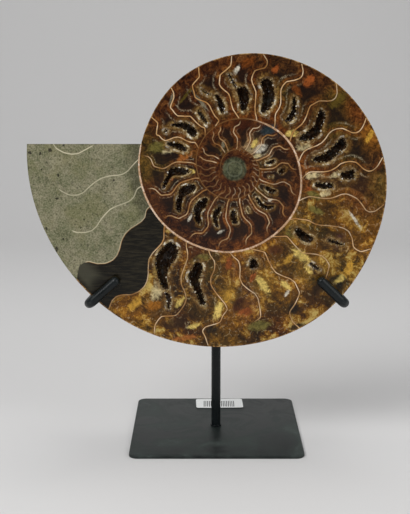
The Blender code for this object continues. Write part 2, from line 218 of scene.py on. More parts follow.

# %% [markdown]
# ## Helpers for meshes
# Bars, crystals, welds and the plate are all built the same way: rings of
# points, skinned with quads. One more helper turns such a mesh into a piece,
# hangs it under the root body that it rides on, and hides the CAD solid that
# it stands for.

# %% Mesh helpers
def circle(centre, first, second, radius, sides, turn=0.0):
    """Places round a circle in the plane of two directions."""
    angles = (turn + 2.0 * math.pi * k / sides for k in range(sides))
    return [centre + (first * math.cos(a) + second * math.sin(a)) * radius for a in angles]


def ring_of(bm, places):
    return [bm.verts.new(place * MM) for place in places]


def skin(bm, rings):
    """Quads between neighbouring rings."""
    for low, high in zip(rings, rings[1:]):
        for k in range(len(low)):
            after = (k + 1) % len(low)
            bm.faces.new((low[k], low[after], high[after], high[k]))


def mesh_of(name, bm, finish, sharp=None):
    """A mesh with one finish. Edges are smooth up to the angle given as sharp."""
    mesh = bpy.data.meshes.new(name)
    bm.to_mesh(mesh)
    bm.free()
    if sharp != 0:
        mesh.shade_smooth()
    if sharp:
        mesh.set_sharp_from_angle(angle=math.radians(sharp))
    mesh.materials.append(finish)
    return mesh


def place_piece(name, mesh, node=None):
    """A piece of the object. The node is the solid that it stands for."""
    piece = add_object(name, mesh)
    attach(piece, "root")
    if node:
        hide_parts(node)


def build_piece(name, bm, finish, node=None, sharp=None):
    bmesh.ops.recalc_face_normals(bm, faces=bm.faces[:])
    place_piece(name, mesh_of(name, bm, finish, sharp), node)


print("mesh helpers ready")

# %% [markdown]
# ## Floor and light
# The stage is a plain pale sweep: a floor that curves up into a wall, so that
# no horizon line shows. A wide soft light stands high at the left front and a
# weaker one at the right, as in a photographer's tent. Soft light keeps a
# polished stone's colours readable.

# %% Sweep and lamps
FLOOR_HALF, WALL_DISTANCE, SWEEP_RADIUS, WALL_HEIGHT = 2.6, 0.75, 0.55, 2.4
SWEEP_STEPS = 12
ROOM_COLOUR, ROOM_STRENGTH = (0.9, 0.93, 1.0, 1.0), 0.12
AIM = Vector((0.0, 0.0, 0.15))
# Place and side in metres, power in watts
LAMPS = {"key_light": ((-0.9, -0.9, 1.25), 0.9, 18.0), "fill_light": ((1.1, -0.8, 0.8), 0.9, 7.0),
         "top_light": ((0.1, 0.15, 1.5), 0.8, 8.0)}


def make_sweep():
    profile = [(-FLOOR_HALF, 0.0), (WALL_DISTANCE, 0.0)]
    for step in range(1, SWEEP_STEPS + 1):
        turn = math.radians(90.0 * step / SWEEP_STEPS)
        profile.append((WALL_DISTANCE + SWEEP_RADIUS * math.sin(turn),
                        SWEEP_RADIUS * (1.0 - math.cos(turn))))
    profile.append((WALL_DISTANCE + SWEEP_RADIUS, WALL_HEIGHT))
    bm = bmesh.new()
    rows = [[bm.verts.new((x, y, z)) for x in (-FLOOR_HALF, FLOOR_HALF)] for y, z in profile]
    for low, high in zip(rows, rows[1:]):
        bm.faces.new((low[0], low[1], high[1], high[0]))
    paper = Finish("pale_paper", roughness=0.9, specular=0.2)
    paper.set("Base Color", (214, 213, 212))
    add_object("sweep", mesh_of("sweep", bm, paper.material))


make_sweep()
for name, (spot, size, power) in LAMPS.items():
    light = bpy.data.lights.new(name, "AREA")
    light.shape = "RECTANGLE"
    light.size = light.size_y = size
    light.energy = power
    lamp = add_object(name, light)
    lamp.location = spot
    lamp.rotation_euler = (AIM - Vector(spot)).to_track_quat("-Z", "Y").to_euler()
world = bpy.data.worlds.new("soft_room")
bpy.context.scene.world = world
world.use_nodes = True
room = world.node_tree.nodes["Background"].inputs
room["Color"].default_value = ROOM_COLOUR
room["Strength"].default_value = ROOM_STRENGTH
bpy.context.scene.view_settings.view_transform = "Standard"
print("stage and", len(LAMPS), "soft lights")

# %% [markdown]
# ## The spiral
# An ammonite's shell is a spiral whose walls keep the same centre. The growth
# angle says how far the animal had grown: 0 in the middle, 360 more for each
# turn, clockwise as the face shows it. The wall's radius at any growth angle
# is one curve through a few radii, smooth in the logarithm, because shells
# grow by shares and not by steps.

# %% Spiral measures
FACE_Y = -38.0
CENTRE_X, CENTRE_Z = 12.1, 202.7
CUT_Z, CUT_DIP = 220.0, 0.12
TURN = 360.0
RIM_START = 914.9
WALL_STEP = 30.0
WALL_RADIUS = np.array([
    6.2, 6.9, 7.5, 8.0, 8.5, 9.0, 9.5, 10.6, 12.1, 13.4, 14.5, 15.4,
    17.1, 18.5, 19.9, 20.9, 22.1, 24.1, 26.1, 28.6, 31.6, 34.4, 37.0, 41.3,
    45.3, 50.5, 54.1, 58.3, 60.4, 63.4, 66.0, 67.5, 72.3, 77.8, 84.6, 94.1,
    104.6, 111.8, 121.6, 127.2, 132.4, 137.0, 143.0, 146.5])
FIRST_TURN = 12  # places of WALL_RADIUS in one turn


def smooth_between(before, start, finish, after, share):
    """Catmull-Rom curve between start and finish."""
    return 0.5 * (2.0 * start + (finish - before) * share
                  + (2.0 * before - 5.0 * start + 4.0 * finish - after) * share ** 2
                  + (3.0 * start - before - 3.0 * finish + after) * share ** 3)


def wall_radius(growth):
    """Radius of the spiral wall in mm, for one growth angle or many."""
    logs = np.log(WALL_RADIUS)
    last = len(logs) - 1
    place = np.asarray(growth, float) / WALL_STEP
    cell = np.clip(place.astype(int), 0, last - 1)
    after = np.where(cell + 2 <= last, logs[np.minimum(cell + 2, last)],
                     2.0 * logs[last] - logs[last - 1])
    curve = smooth_between(logs[np.maximum(cell - 1, 0)], logs[cell], logs[cell + 1], after,
                           place - cell)
    slope = (logs[FIRST_TURN] - logs[0]) / FIRST_TURN
    return np.exp(np.where(place <= 0.0, logs[0] + slope * place, curve))


def face_place(growth, radius):
    """X and Z in mm of a point of the face."""
    turn = np.radians(growth)
    return CENTRE_X + radius * np.cos(turn), CENTRE_Z - radius * np.sin(turn)


def cut_angle(radius, depth=0.0):
    """Angle at which the sawn end crosses this radius, this deep behind the face."""
    height = CUT_Z - CUT_DIP * depth - CENTRE_Z
    return float(180.0 + np.degrees(np.arcsin(height / radius)))


def whorl_radius(growth, across):
    inner, outer = wall_radius(growth - TURN), wall_radius(growth)
    return inner + (outer - inner) * across


print("wall radius after three turns:", round(float(wall_radius(3.0 * TURN)), 1), "mm")

# %% [markdown]
# ## The chamber walls
# The animal closed off its shell behind it with thin curved walls, the septa.
# In this cut each one shows as a tan line, folded near the rim. A septum is
# kept as its growth angle at the inner wall and, for each further place
# across the whorl up to the rim, how many tenths of a degree the line is
# ahead of that. They were read from the photograph along each line, so
# that the chambers are as wide and as bent as the real ones.

# %% Septa of the last whorl
ACROSS = (0, 0.05, 0.1, 0.15, 0.2, 0.28, 0.35, 0.42, 0.48,
          0.54, 0.6, 0.67, 0.74, 0.79, 0.84, 0.9, 1)
LAST_SEPTA_TENTHS = (
    (909, 5, 10, 5, 0, -5, -10, -25, -50, -70, -85, -80, -70, -40, -10, 0, 0),
    (930, 25, 40, 20, 10, 3, 4, -5, -25, -55, -77, -75, -60, -65, 10, 15, 20),
    (948, 40, 60, 40, 32, 25, 23, 20, -8, -30, -50, -50, -44, -45, 15, 33, 40),
    (965, 72, 60, 45, 40, 35, 33, 20, -5, -27, -40, -30, -25, -20, 40, 45, 55),
    (995, -25, -47, -65, -75, -84, -88, -100, -125, -145, -155, -147, -140, -100, -74, -70, -67),
    (1014.5, -20, -43, -57, -67, -76, -85, -93, -112, -130, -141, -139, -131, -80, -75, -79, -111),
    (1034, -20, -42, -65, -78, -80, -90, -110, -127, -140, -142, -137, -100, -85, -83, -92, -121),
    (1054, -30, -55, -70, -74, -78, -92, -110, -128, -140, -136, -130, -103, -92, -93, -105, -145),
    (1074, -50, -80, -92, -96, -99, -108, -126, -146, -156, -156, -147,
     -113, -106, -110, -124, -156),
    (1089, -40, -65, -70, -70, -72, -80, -97, -118, -126, -128, -122, -90, -80, -83, -98, -140),
    (1106.5, -35, -60, -70, -74, -82, -93, -113, -132, -140, -136, -128,
     -107, -90, -88, -98, -137),
    (1123, -40, -55, -73, -83, -87, -100, -118, -129, -139, -145, -144, -125, -98, -95, -98, -130),
    (1141, -47, -90, -92, -93, -96, -100, -129, -150, -163, -164, -157, -105, -95, -85, -85, -90),
    (1159, -50, -92, -94, -95, -100, -110, -136, -160, -172, -171, -169,
     -135, -102, -100, -100, -115),
    (1173, -25, -58, -65, -65, -60, -72, -100, -127, -136, -136, -136, -133, -90, -75, -70, -80),
    (1187.5, -20, -55, -64, -65, -55, -63, -90, -115, -138, -150, -132, -125, -75, -65, -80, -95),
    (1203.5, -20, -47, -61, -65, -70, -75, -92, -119, -135, -136, -130, -120, -75, -70, -68, -80),
    (1221, -28, -58, -69, -70, -70, -77, -100, -120, -133, -138, -134, -120, -97, -85, -83, -95),
    (1236, -10, -45, -56, -58, -60, -69, -87, -110, -125, -130, -125, -108, -85, -80, -83, -115),
    (1249.5, -10, -50, -65, -69, -70, -75, -90, -105, -122, -130, -126, -114, -95, -80, -80, -85),
    (1266, -35, -70, -87, -91, -92, -100, -116, -133, -150, -155, -150,
     -130, -108, -100, -106, -130),
    (1281, -35, -65, -82, -90, -95, -105, -117, -136, -153, -158, -155,
     -144, -120, -105, -100, -110),
)

last_septa = [[first] + [first + tenths / 10.0 for tenths in line]
              for first, *line in LAST_SEPTA_TENTHS]
print(len(last_septa), "septa in the last whorl")

# %% [markdown]
# The second whorl is the same animal when younger: the same folds, closer
# together. Only the growth angle of each septum and how far it leans differ
# enough to see, so a mean fold is shifted and scaled for each one. The early
# whorls repeat that fold at even spacing.

# %% Septa of the early whorls
MEAN_FOLD = (6, 7.5, 7.8, 7.5, 7.2, 7, 6.4, 4.6, 2.4, 0.6, 0, 0.9, 1.6, 6.3, 7.6, 7.8, 8.6)
SECOND_WHORL = (
    (557, 0.3), (567, 0.8), (592, 1), (604, 0.9), (628, 1.1), (652.5, 1), (672, 1), (691, 1.1),
    (712.5, 1), (734.5, 1.1), (755.7, 0.95), (775.2, 0.9), (793.2, 1), (813.4, 1), (834.3, 1.05),
    (856.3, 1.1), (878.4, 1.1), (900.2, 1.05),
)
EARLY_FROM, EARLY_TO, EARLY_SPACING, EARLY_LEAN = 200.0, 550.0, 13.0, 0.9

folds = [(growth, EARLY_LEAN) for growth in np.arange(EARLY_FROM, EARLY_TO, EARLY_SPACING)]
folds += SECOND_WHORL
early_septa = [[growth + lean * bend for bend in MEAN_FOLD] for growth, lean in folds]
all_septa = np.array(early_septa + last_septa[1:])
print(len(SECOND_WHORL), "septa in the second whorl,", len(all_septa), "in all")

# %% [markdown]
# ## The open chambers
# Some chambers were never filled with sediment. Calcite grew on their walls
# and left a hollow in the middle. Each hollow is a growth angle and a few
# stations: how far across the whorl in percent, and how far beyond that angle
# its left and right edge are. The solid model cuts the same ones. Small
# shallow ones are added here.

# %% Hollows
HOLLOW_STATIONS = {
    "second_whorl": (
        (706, (45, 0, 4.5), (36, 0, 6.8), (27, 0.5, 7), (20, 1.5, 6)),
        (719, (62, 0, 4), (55, 0.5, 8), (47, 2, 8)),
        (746, (46, 0.5, 5.5), (36, 1.5, 8.5), (27, 1.3, 8.5), (19, 3, 7)),
        (762, (58, 0, 3.5), (50, 3.5, 10.5), (42, 7.3, 13.2), (32, 8.3, 14.2), (23, 7.8, 14.2),
         (17, 9, 12.5)),
        (805, (47, 0.5, 6.5), (38, 1.3, 9.2), (30, 1.8, 10.2), (21, 3.5, 8.8)),
        (824, (56, 0, 3.5), (48, 2.3, 7.5), (40, 3.8, 10.5), (30, 3.8, 12), (22, 3, 11.2),
         (16, 4.5, 8.8)),
        (840, (62, 0.5, 4.8), (54, 2, 10.6), (44, 6.4, 15.6), (34, 7, 18.3), (25, 6.3, 18.4),
         (18, 8.5, 17.5), (13, 10.5, 15)),
        (861, (66, 0, 5), (60, 0.5, 8.5), (52, 4.5, 12.5), (44, 8, 17), (36, 9.8, 20.6),
         (24, 9, 21), (13, 12, 18.5)),
        (884, (66, 0, 3.5), (57, 2.5, 8.7), (49, 7, 15), (41, 9.4, 17.8), (26, 8.4, 18),
         (14, 11, 15.6)),
    ),
    "last_whorl": (
        (918, (56, 1.5, 4), (45, 1, 6.5), (32, 0.5, 7.5), (20, 1.2, 6.3)),
        (934, (60, 0, 2.5), (50, 1.7, 7), (40, 3.3, 10.3), (30, 3, 11.5), (20, 2.7, 11.8),
         (14, 5, 9.5)),
        (955, (40, 1.6, 4), (30, 1, 5.3), (20, 0.8, 5.6), (12, 1.8, 4.8)),
        (974, (46, 0.2, 2.8), (38, 0.8, 5.2), (28, 1, 7.1), (20, 1.3, 7), (14, 2.5, 5.7)),
        (990, (49, 0.5, 7), (40, 1.5, 11), (30, 3, 12), (20, 4.3, 11.8), (12, 6, 10.2)),
        (1006, (64, 1.5, 6.5), (55, 0.2, 9.2), (45, 3.3, 12.2), (35, 4.8, 14.3), (25, 6.3, 14.4),
         (14, 8.2, 13)),
        (1028, (52, 0.5, 3.2), (42, 3, 7), (32, 6, 10.7), (24, 6.7, 12), (17, 7.5, 11)),
        (1045, (60, 0, 4.5), (50, 2, 8), (40, 5.8, 12.2), (30, 7, 14.4), (21, 7.6, 14.1),
         (13, 9, 12.8)),
        (1063, (62, 0.3, 5.7), (52, 2, 8), (42, 4.5, 11.2), (32, 7, 13.2), (23, 7.7, 12.9),
         (17, 8.8, 11.9)),
        (1080, (63, 0.3, 4.5), (55, 0.8, 5.6), (47, 2, 5.2)),
        (1088, (38, 0.3, 2.8), (30, 0.5, 4.6), (22, 0.8, 5.1), (16, 1.5, 4.2)),
        (1121, (35, 0, 3.2), (27, 0.5, 5.7), (20, 0.8, 6.1), (13, 2, 5.2)),
        (1155, (22, 0.8, 5.6), (17, 1, 6.1), (11.5, 2, 5.3)),
        (1181, (57, 0.3, 3), (48, 2, 5.7), (40, 4.2, 9.2), (32, 5.8, 12.2), (24, 5.8, 12.2),
         (16, 7, 11.2)),
        (1198, (52, 0.2, 3.8), (42, 3.2, 8.7), (34, 4.6, 12.6), (26, 4.8, 14.1), (17, 4.7, 14.4),
         (9, 8, 13.2)),
    ),
    "shallow": (
        (927, (70, 0.3, 2), (66, 0.4, 3.6), (62, 1.4, 3.8)),
        (966, (66, 0.2, 1.6), (58, 1.6, 4), (50, 4.2, 6.4)),
        (985, (72, 0.4, 2.2), (60, 1.8, 4.6), (48, 4.8, 6.6)),
        (1114, (68, 0.2, 1.6), (60, 0.8, 3), (50, 2.2, 4)),
        (1129, (62, 0.2, 1.6), (56, 0.6, 2.6), (49, 1.4, 2.8)),
        (1194, (70, 0.4, 1.6), (62, 1, 3.4), (55, 2.8, 5.4)),
        (730, (34, 0.4, 3.4), (27, 0.6, 4), (21, 1.6, 3.6)),
        (789, (33, 0.4, 3.4), (27, 0.6, 4.2), (22, 1.6, 3.8)),
    ),
}
# The hollows whose crystals are solids of their own in the CAD model
CRUSTED = ("second_whorl_g", "second_whorl_h", "last_whorl_e", "last_whorl_f",
           "last_whorl_h", "last_whorl_i", "last_whorl_n", "last_whorl_o")
OUTLINE_DETAIL = 5


def hollow_outline(first, *stations):
    """Closed smooth outline of a hollow in the face, in mm."""
    edge = [(first + right, percent) for percent, _, right in stations]
    edge += [(first + left, percent) for percent, left, _ in reversed(stations)]
    ring = [np.array(face_place(at, whorl_radius(at, percent / 100.0))) for at, percent in edge]
    smooth = []
    for index in range(len(ring)):
        four = [ring[(index + offset) % len(ring)] for offset in (-1, 0, 1, 2)]
        for step in range(OUTLINE_DETAIL):
            smooth.append(smooth_between(*four, step / OUTLINE_DETAIL))
    return np.array(smooth)


outlines = {}
for group, hollows in HOLLOW_STATIONS.items():
    for letter, stations in zip("abcdefghijklmno", hollows):
        outlines[group + "_" + letter] = hollow_outline(*stations)
print(len(outlines), "hollows,", len(CRUSTED), "of them with a crust in the solid model")

# %% [markdown]
# ## Laying out the face
# The whole polished face is one grid that winds with the spiral: columns run
# across a whorl and rows run along it. One whorl's outer wall is the next
# one's inner wall, so they share their points. At each turn's end the number
# of rows changes, and a strip of triangles joins the two. The last columns
# lean over, so that the very last lies in the saw cut.

# %% Samples and faces
class Body:
    """The fossil's mesh while it grows. Samples hold what is known of a place
    on the surface, and several samples may share one mesh point."""
    growth, across, whorl, point = [], [], [], []
    points, faces, finish = [], [], []


POLISHED, NATURAL, SAWN = 0, 1, 2


def add_sample(growth, across, whorl, place, point=None):
    if point is None:
        point = len(Body.points)
        Body.points.append(tuple(float(v) for v in place))
    Body.growth.append(float(growth))
    Body.across.append(float(across))
    Body.whorl.append(whorl)
    Body.point.append(point)
    return len(Body.point) - 1


def add_face(corners, finish):
    """Keeps a face unless fewer than three of its corners differ."""
    kept = []
    for sample in corners:
        if Body.point[sample] not in [Body.point[other] for other in kept]:
            kept.append(sample)
    if len(kept) > 2:
        Body.faces.append(kept)
        Body.finish.append(finish)


def add_strip(left, right, finish):
    """Quads between two neighbouring columns."""
    for a, b, c, d in zip(left, left[1:], right[1:], right):
        add_face((a, b, c, d), finish)


def bridge(first, first_steps, second, second_steps, finish):
    """Triangles between two lines of samples with different spacing."""
    first_steps, second_steps = [*first_steps, math.inf], [*second_steps, math.inf]
    a, b = 0, 0
    while a < len(first) - 1 or b < len(second) - 1:
        if first_steps[a + 1] <= second_steps[b + 1]:
            add_face((first[a], first[a + 1], second[b]), finish)
            a += 1
        else:
            add_face((first[a], second[b + 1], second[b]), finish)
            b += 1


print("ready for samples")

# %% [markdown]
# The rows are closer together where the hollows are. In the last whorl the
# grid ends at the saw cut, so its last columns are spread by how far the cut
# lies from where the grid would end.

# %% Grid of the face
COLUMNS = 720
LAST_WHORL = 3
ROWS = (4, 9, 32)
LAST_ROWS_LOW, LAST_ROWS_HIGH, LAST_ROWS_BEND = 48, 18, 0.66
GRID_START = RIM_START - LAST_WHORL * TURN
LEAN_FROM = 1252.0
ROUNDS = 8  # enough for the search for a crossing with the saw cut to settle


def rows_of(whorl):
    """Places across a whorl."""
    if whorl < LAST_WHORL:
        return np.linspace(0.0, 1.0, ROWS[whorl] + 1)
    low = np.linspace(0.0, LAST_ROWS_BEND, LAST_ROWS_LOW + 1)
    return np.concatenate([low, np.linspace(LAST_ROWS_BEND, 1.0, LAST_ROWS_HIGH + 1)[1:]])


def leaned(growth, across, last_growth):
    """Growth angle of a grid point once the last columns lean into the cut."""
    if growth <= LEAN_FROM:
        return growth
    end = growth
    for _ in range(ROUNDS):
        end = LAST_WHORL * TURN + cut_angle(whorl_radius(end, across))
    return LEAN_FROM + (growth - LEAN_FROM) * (end - LEAN_FROM) / (last_growth - LEAN_FROM)


def lay_whorl(whorl, inner_points):
    """One turn of columns. Its inner points are the whorl before's outer ones."""
    start, steps = GRID_START + TURN * whorl, rows_of(whorl)
    grid = []
    for column in range(COLUMNS + 1):
        growth = start + TURN * column / COLUMNS
        line = []
        for row, across in enumerate(steps):
            here = leaned(growth, across, start + TURN) if whorl == LAST_WHORL else growth
            inner = 0.0 if whorl == 0 else float(wall_radius(here - TURN))
            x, z = face_place(here, inner + (float(wall_radius(here)) - inner) * across)
            shared = inner_points[column] if row == 0 else None
            line.append(add_sample(here, across, whorl, (x, FACE_Y, z), shared))
        grid.append(line)
        if column == 0 and whorl:
            inner_points[COLUMNS] = Body.point[line[-1]]
    return grid


def from_centre(samples):
    return [math.dist(Body.points[Body.point[s]], Body.points[0]) for s in samples]


def lay_face():
    centre = add_sample(GRID_START, 0.0, 0, (CENTRE_X, FACE_Y, CENTRE_Z))
    inner = [Body.point[centre]] * (COLUMNS + 1)
    grids = []
    for whorl in range(LAST_WHORL + 1):
        grids.append(lay_whorl(whorl, inner))
        inner = [Body.point[line[-1]] for line in grids[-1]]
    for whorl, grid in enumerate(grids):
        last = COLUMNS if whorl == LAST_WHORL else COLUMNS - 1
        for left, right in zip(grid[:last], grid[1:last + 1]):
            add_strip(left, right, POLISHED)
        if whorl < LAST_WHORL:
            # The first column of the next turn closes this one.
            line = (grid[0] if whorl == 0 else []) + grids[whorl + 1][0]
            bridge(grid[last], from_centre(grid[last]), line, from_centre(line), POLISHED)
    return grids[-1]


last_grid = lay_face()
face_samples = len(Body.point)
print(len(Body.points), "points and", len(Body.faces), "faces on the polished face")

# %% [markdown]
# ## The ribbed back
# Behind the face the shell keeps its natural outside: a flank that swells
# from the seam to a shoulder and falls away to the rim, with low ribs across
# it. Each whorl covers most of the one before, so the inner ones show only
# in the middle. The rows follow the same profile as the solid model.

# %% Profile of the back
THICKNESS_RATIO, SEAM_RATIO = 0.235, 0.4
PROFILE_PLACE = (0.0, 0.3, 1.0, 0.25, 0.5, 0.72, 0.9, 1.0)
PROFILE_HEIGHT = (0.0, 0.84, 0.98, 0.985, 0.88, 0.68, 0.42, 0.0)
SHOULDER_ROW, RIM_ROW = 2, 7
RIM_POWER = 1.6
RIM_END = RIM_START + TURN


def at_row(values, row):
    return float(np.interp(row, range(len(values)), values))


def ease(share):
    return share * share * (3.0 - 2.0 * share)


def seam_radius(growth):
    return SEAM_RATIO * float(wall_radius(growth - TURN))


def back_radius(growth, growth_at_rim, row):
    seam, shoulder = seam_radius(growth), seam_radius(growth + TURN)
    if row <= SHOULDER_ROW:
        return seam + (shoulder - seam) * at_row(PROFILE_PLACE[:3], row)
    share = at_row((0.0,) + PROFILE_PLACE[3:], row - SHOULDER_ROW)
    return shoulder + (float(wall_radius(growth_at_rim)) - shoulder) * share


def profile_height(row):
    """Smooth height of the flank above the face, as a share."""
    cell = min(int(row), RIM_ROW - 1)
    if cell == 0 or row >= RIM_ROW:
        return at_row(PROFILE_HEIGHT, row)
    if cell == RIM_ROW - 1:
        # The last part is a round that ends square to the face.
        return PROFILE_HEIGHT[cell] * math.sqrt(max(1.0 - (row - cell) ** RIM_POWER, 0.0))
    four = [PROFILE_HEIGHT[min(max(cell + offset, 1), RIM_ROW)] for offset in (-1, 0, 1, 2)]
    return float(smooth_between(*four, row - cell))


def flank_depth(growth, row):
    """Depth of the back behind the face, without its ribs."""
    here = THICKNESS_RATIO * float(wall_radius(growth))
    if row >= 1.0:
        return profile_height(row) * here
    before = PROFILE_HEIGHT[2] * THICKNESS_RATIO * float(wall_radius(growth - TURN))
    return before + (PROFILE_HEIGHT[1] * here - before) * row


print("thickest", round(flank_depth(RIM_END, 3.0), 1), "mm behind the face")

# %% [markdown]
# Both ends of the back lie in the saw cut, so its columns lean too: by as
# much as the cut asks for at each end, and eased from one to the other.

# %% Back of the shell
RIB_HEIGHT, RIB_SPACING, RIB_RADIUS = 0.8, 12.0, 120.0
RIB_STRENGTH = (0.0, 0.2, 0.5, 1.0, 1.0, 1.0, 0.7, 0.0)
BACK_STEP, BACK_COLUMNS, ROW_PARTS = 1.5, 240, 3
SHOULDER = SHOULDER_ROW * ROW_PARTS
BACK = LAST_WHORL + 1  # the number that stands for a whorl on the back
CUT_FROM = RIM_START - 2.0 * TURN
UMBILICUS_DEPTH, UMBILICUS_GROWTH = 2.0, 200.0

rim_end = RIM_END  # where the rim meets the cut, found step by step
for _ in range(ROUNDS):
    rim_end = LAST_WHORL * TURN + cut_angle(float(wall_radius(rim_end)))


def cut_lean(radius, growth, row):
    return cut_angle(radius, flank_depth(growth, row)) - CUT_FROM


def back_point(column, row):
    """A point of the back, with columns every 1.5 degrees of growth."""
    share = column / BACK_COLUMNS
    growth = RIM_START + BACK_STEP * column
    at_rim = growth + (rim_end - RIM_END) * ease(share) if column > 0 else growth
    lean = cut_lean(seam_radius(RIM_END), RIM_END, 0.0)
    if column >= 0:
        if row > SHOULDER_ROW:
            lean = cut_lean(back_radius(RIM_START, RIM_START, row), RIM_START, row)
        lean += (cut_lean(back_radius(RIM_END, rim_end, row), RIM_END, row) - lean) * ease(share)
    depth = flank_depth(growth, row)
    if 0 < column < BACK_COLUMNS:
        wave = -math.cos(2.0 * math.pi * BACK_STEP * column / RIB_SPACING)
        size = RIB_HEIGHT * float(wall_radius(growth)) / RIB_RADIUS
        depth += wave * at_row(RIB_STRENGTH, row) * size
    x, z = face_place(growth + lean, back_radius(growth, at_rim, row))
    return growth, (x, FACE_Y + depth, z)


def lay_back():
    lines = {}
    for column in range(BACK_COLUMNS, -2 * BACK_COLUMNS - 1, -1):
        line = []
        for index in range(SHOULDER + 1 if column < 0 else RIM_ROW * ROW_PARTS):
            row = index / ROW_PARTS
            growth, place = back_point(column, row)
            shared = None
            if column <= 0 and index == SHOULDER:
                shared = Body.point[lines[column + BACK_COLUMNS][0]]
            line.append(add_sample(growth, row / RIM_ROW, BACK, place, shared))
        lines[column] = line
    for column in range(-2 * BACK_COLUMNS, BACK_COLUMNS):
        add_strip(lines[column], lines[column + 1], NATURAL)

    # Middle of the umbilicus
    place = (CENTRE_X, FACE_Y + UMBILICUS_DEPTH, CENTRE_Z)
    middle = add_sample(UMBILICUS_GROWTH, 0.0, BACK, place)
    ring = [lines[column][0] for column in range(-2 * BACK_COLUMNS, -BACK_COLUMNS + 1)]
    ring += lines[-2 * BACK_COLUMNS][1:SHOULDER][::-1]
    for first, second in zip(ring, ring[1:] + ring[:1]):
        add_face((first, second, middle), NATURAL)

    # The rim joins the back to the face.
    rims = ([line[-1] for line in last_grid], [lines[c][-1] for c in range(BACK_COLUMNS + 1)])
    steps = [np.linspace(0.0, 1.0, len(rim)) for rim in rims]
    bridge(rims[0], steps[0], rims[1], steps[1], NATURAL)
    return lines


back_lines = lay_back()
print(len(Body.points), "points with the back")

# %% [markdown]
# ## The sawn end
# One cut ends the last whorl. It looks level from the front and dips a little
# toward the back. It is flat, so a single outline filled with triangles is
# all it needs: up the back's profile, along the face and down the outside of
# the whorl before.

# %% Sawn end
ring = back_lines[BACK_COLUMNS] + last_grid[-1][::-1] + back_lines[0][SHOULDER + 1:][::-1]
flat = [Vector((*Body.points[Body.point[sample]][:2], 0.0)) for sample in ring]
for triangle in geometry.tessellate_polygon([flat]):
    add_face([ring[index] for index in triangle], SAWN)
print(len(Body.faces), "faces in all")

# %% [markdown]
# ## What each place of the face knows
# A finish can only follow the septa if the surface knows where they are. So
# every sample gets a few measures: how far it is from the nearest septum, how
# far through its chamber it lies, how far from a whorl wall and how far from
# the edge of a hollow. The distance to a septum changes sign from chamber to
# chamber, which keeps thin lines sharp between the mesh's points.

# %% Measures: septa
growth, across, whorl = (np.array(known) for known in (Body.growth, Body.across, Body.whorl))
flat_place = np.array([Body.points[point] for point in Body.point])[:, (0, 2)]
on_face = whorl <= LAST_WHORL
FINE_PARTS = 120
FINE_ACROSS = np.linspace(0.0, 1.0, FINE_PARTS + 1)
FAR = 50.0  # a distance in mm that no finish looks at
TINY = 1e-12


def rounded(values):
    """The same line with its corners eased, twice."""
    for _ in range(2):
        padded = np.concatenate([values[:1], values, values[-1:]])
        values = 0.25 * padded[:-2] + 0.5 * padded[1:-1] + 0.25 * padded[2:]
    return values


def distance_to_line(places, line, closed=False):
    """Shortest distance from each place to a chain of points."""
    ends = np.roll(line, -1, axis=0) if closed else line[1:]
    best = np.full(len(places), np.inf)
    for start, end in zip(line, ends):
        along = end - start
        share = np.clip((places - start) @ along / (along @ along + TINY), 0.0, 1.0)
        gap = places - start - share[:, None] * along
        best = np.minimum(best, np.hypot(gap[:, 0], gap[:, 1]))
    return best


def septa_measures():
    """Place among the chambers, distance to a septum."""
    septa = np.array([rounded(np.interp(FINE_ACROSS, ACROSS, line)) for line in all_septa])
    rows = np.clip(across * FINE_PARTS, 0.0, FINE_PARTS)
    low = np.minimum(rows.astype(int), FINE_PARTS - 1)
    part = rows - low
    at_here = septa[:, low] * (1.0 - part) + septa[:, low + 1] * part
    passed = (at_here < growth).sum(axis=0)
    before = np.clip(passed - 1, 0, len(septa) - 2)
    pick = np.arange(len(growth))
    start, end = at_here[before, pick], at_here[before + 1, pick]
    chamber = before + (growth - start) / np.maximum(end - start, 0.1)
    distance = np.full(len(growth), FAR)
    for number, line in enumerate(septa):
        near = on_face & (whorl > 0) & ((passed == number) | (passed == number + 1))
        if near.any():
            places = np.column_stack(face_place(line, whorl_radius(line, FINE_ACROSS)))
            distance[near] = np.minimum(distance[near], distance_to_line(flat_place[near], places))
    return chamber, distance * np.where(passed % 2, 1.0, -1.0)


chamber, seam_mm = septa_measures()
centre_mm = np.hypot(flat_place[:, 0] - CENTRE_X, flat_place[:, 1] - CENTRE_Z)
print("septa measured, nearest", round(float(np.abs(seam_mm[on_face]).min()), 3), "mm")

# %% [markdown]
# Not every septum is seen as clearly. The early ones are thin, those of the
# second whorl fade before its outer wall, and near the mouth some are lost
# over part of their length.

# %% Measures: strength of the lines
SEPTA_STRENGTH = (0.0, 0.5, 0.95, 1.0, 0.0)  # by whorl, the last for the back
FADE_AT, FADE_WIDTH = 0.93, 0.1
# Place in last_septa, then where across the whorl the line begins and ends
LOST_LINES = ((12, -1.0, 0.75), (14, -1.0, 0.77), (18, -1.0, 0.82), (19, -1.0, 0.77),
              (20, -1.0, 0.74), (21, 0.42, 2.0))

seam_show = np.array(SEPTA_STRENGTH)[whorl]
seam_show[whorl == 2] *= np.clip((FADE_AT - across[whorl == 2]) / FADE_WIDTH, 0.0, 1.0)
nearest = np.round(chamber).astype(int) - (len(all_septa) - len(last_septa))
for number, begins, ends in LOST_LINES:
    lost = (nearest == number) & (whorl == LAST_WHORL) & ((across < begins) | (across > ends))
    seam_show[lost] = 0.0
print(int((seam_show > 0.0).sum()), "samples can show a septum")

# %% [markdown]
# The walls between whorls are where the place across a whorl is 0 or 1. The
# hollows are closed outlines, and a place inside one counts as negative.

# %% Measures: walls and hollows
NO_WALL = 30.0
WALL_THICKNESS = ((560, 900, 930, 1010, 1035, 1250, 1275),
                  (0.35, 0.45, 0.35, 0.45, 0.8, 0.75, 0.5))  # growth angle, then mm
HOLLOW_REACH = 6.0
SHALLOW_LIMIT, DEPTH_SHARE, LEAST_DEPTH, MOST_DEPTH, STEEPNESS = 1.6, 1.7, 2.6, 7.5, 2.2


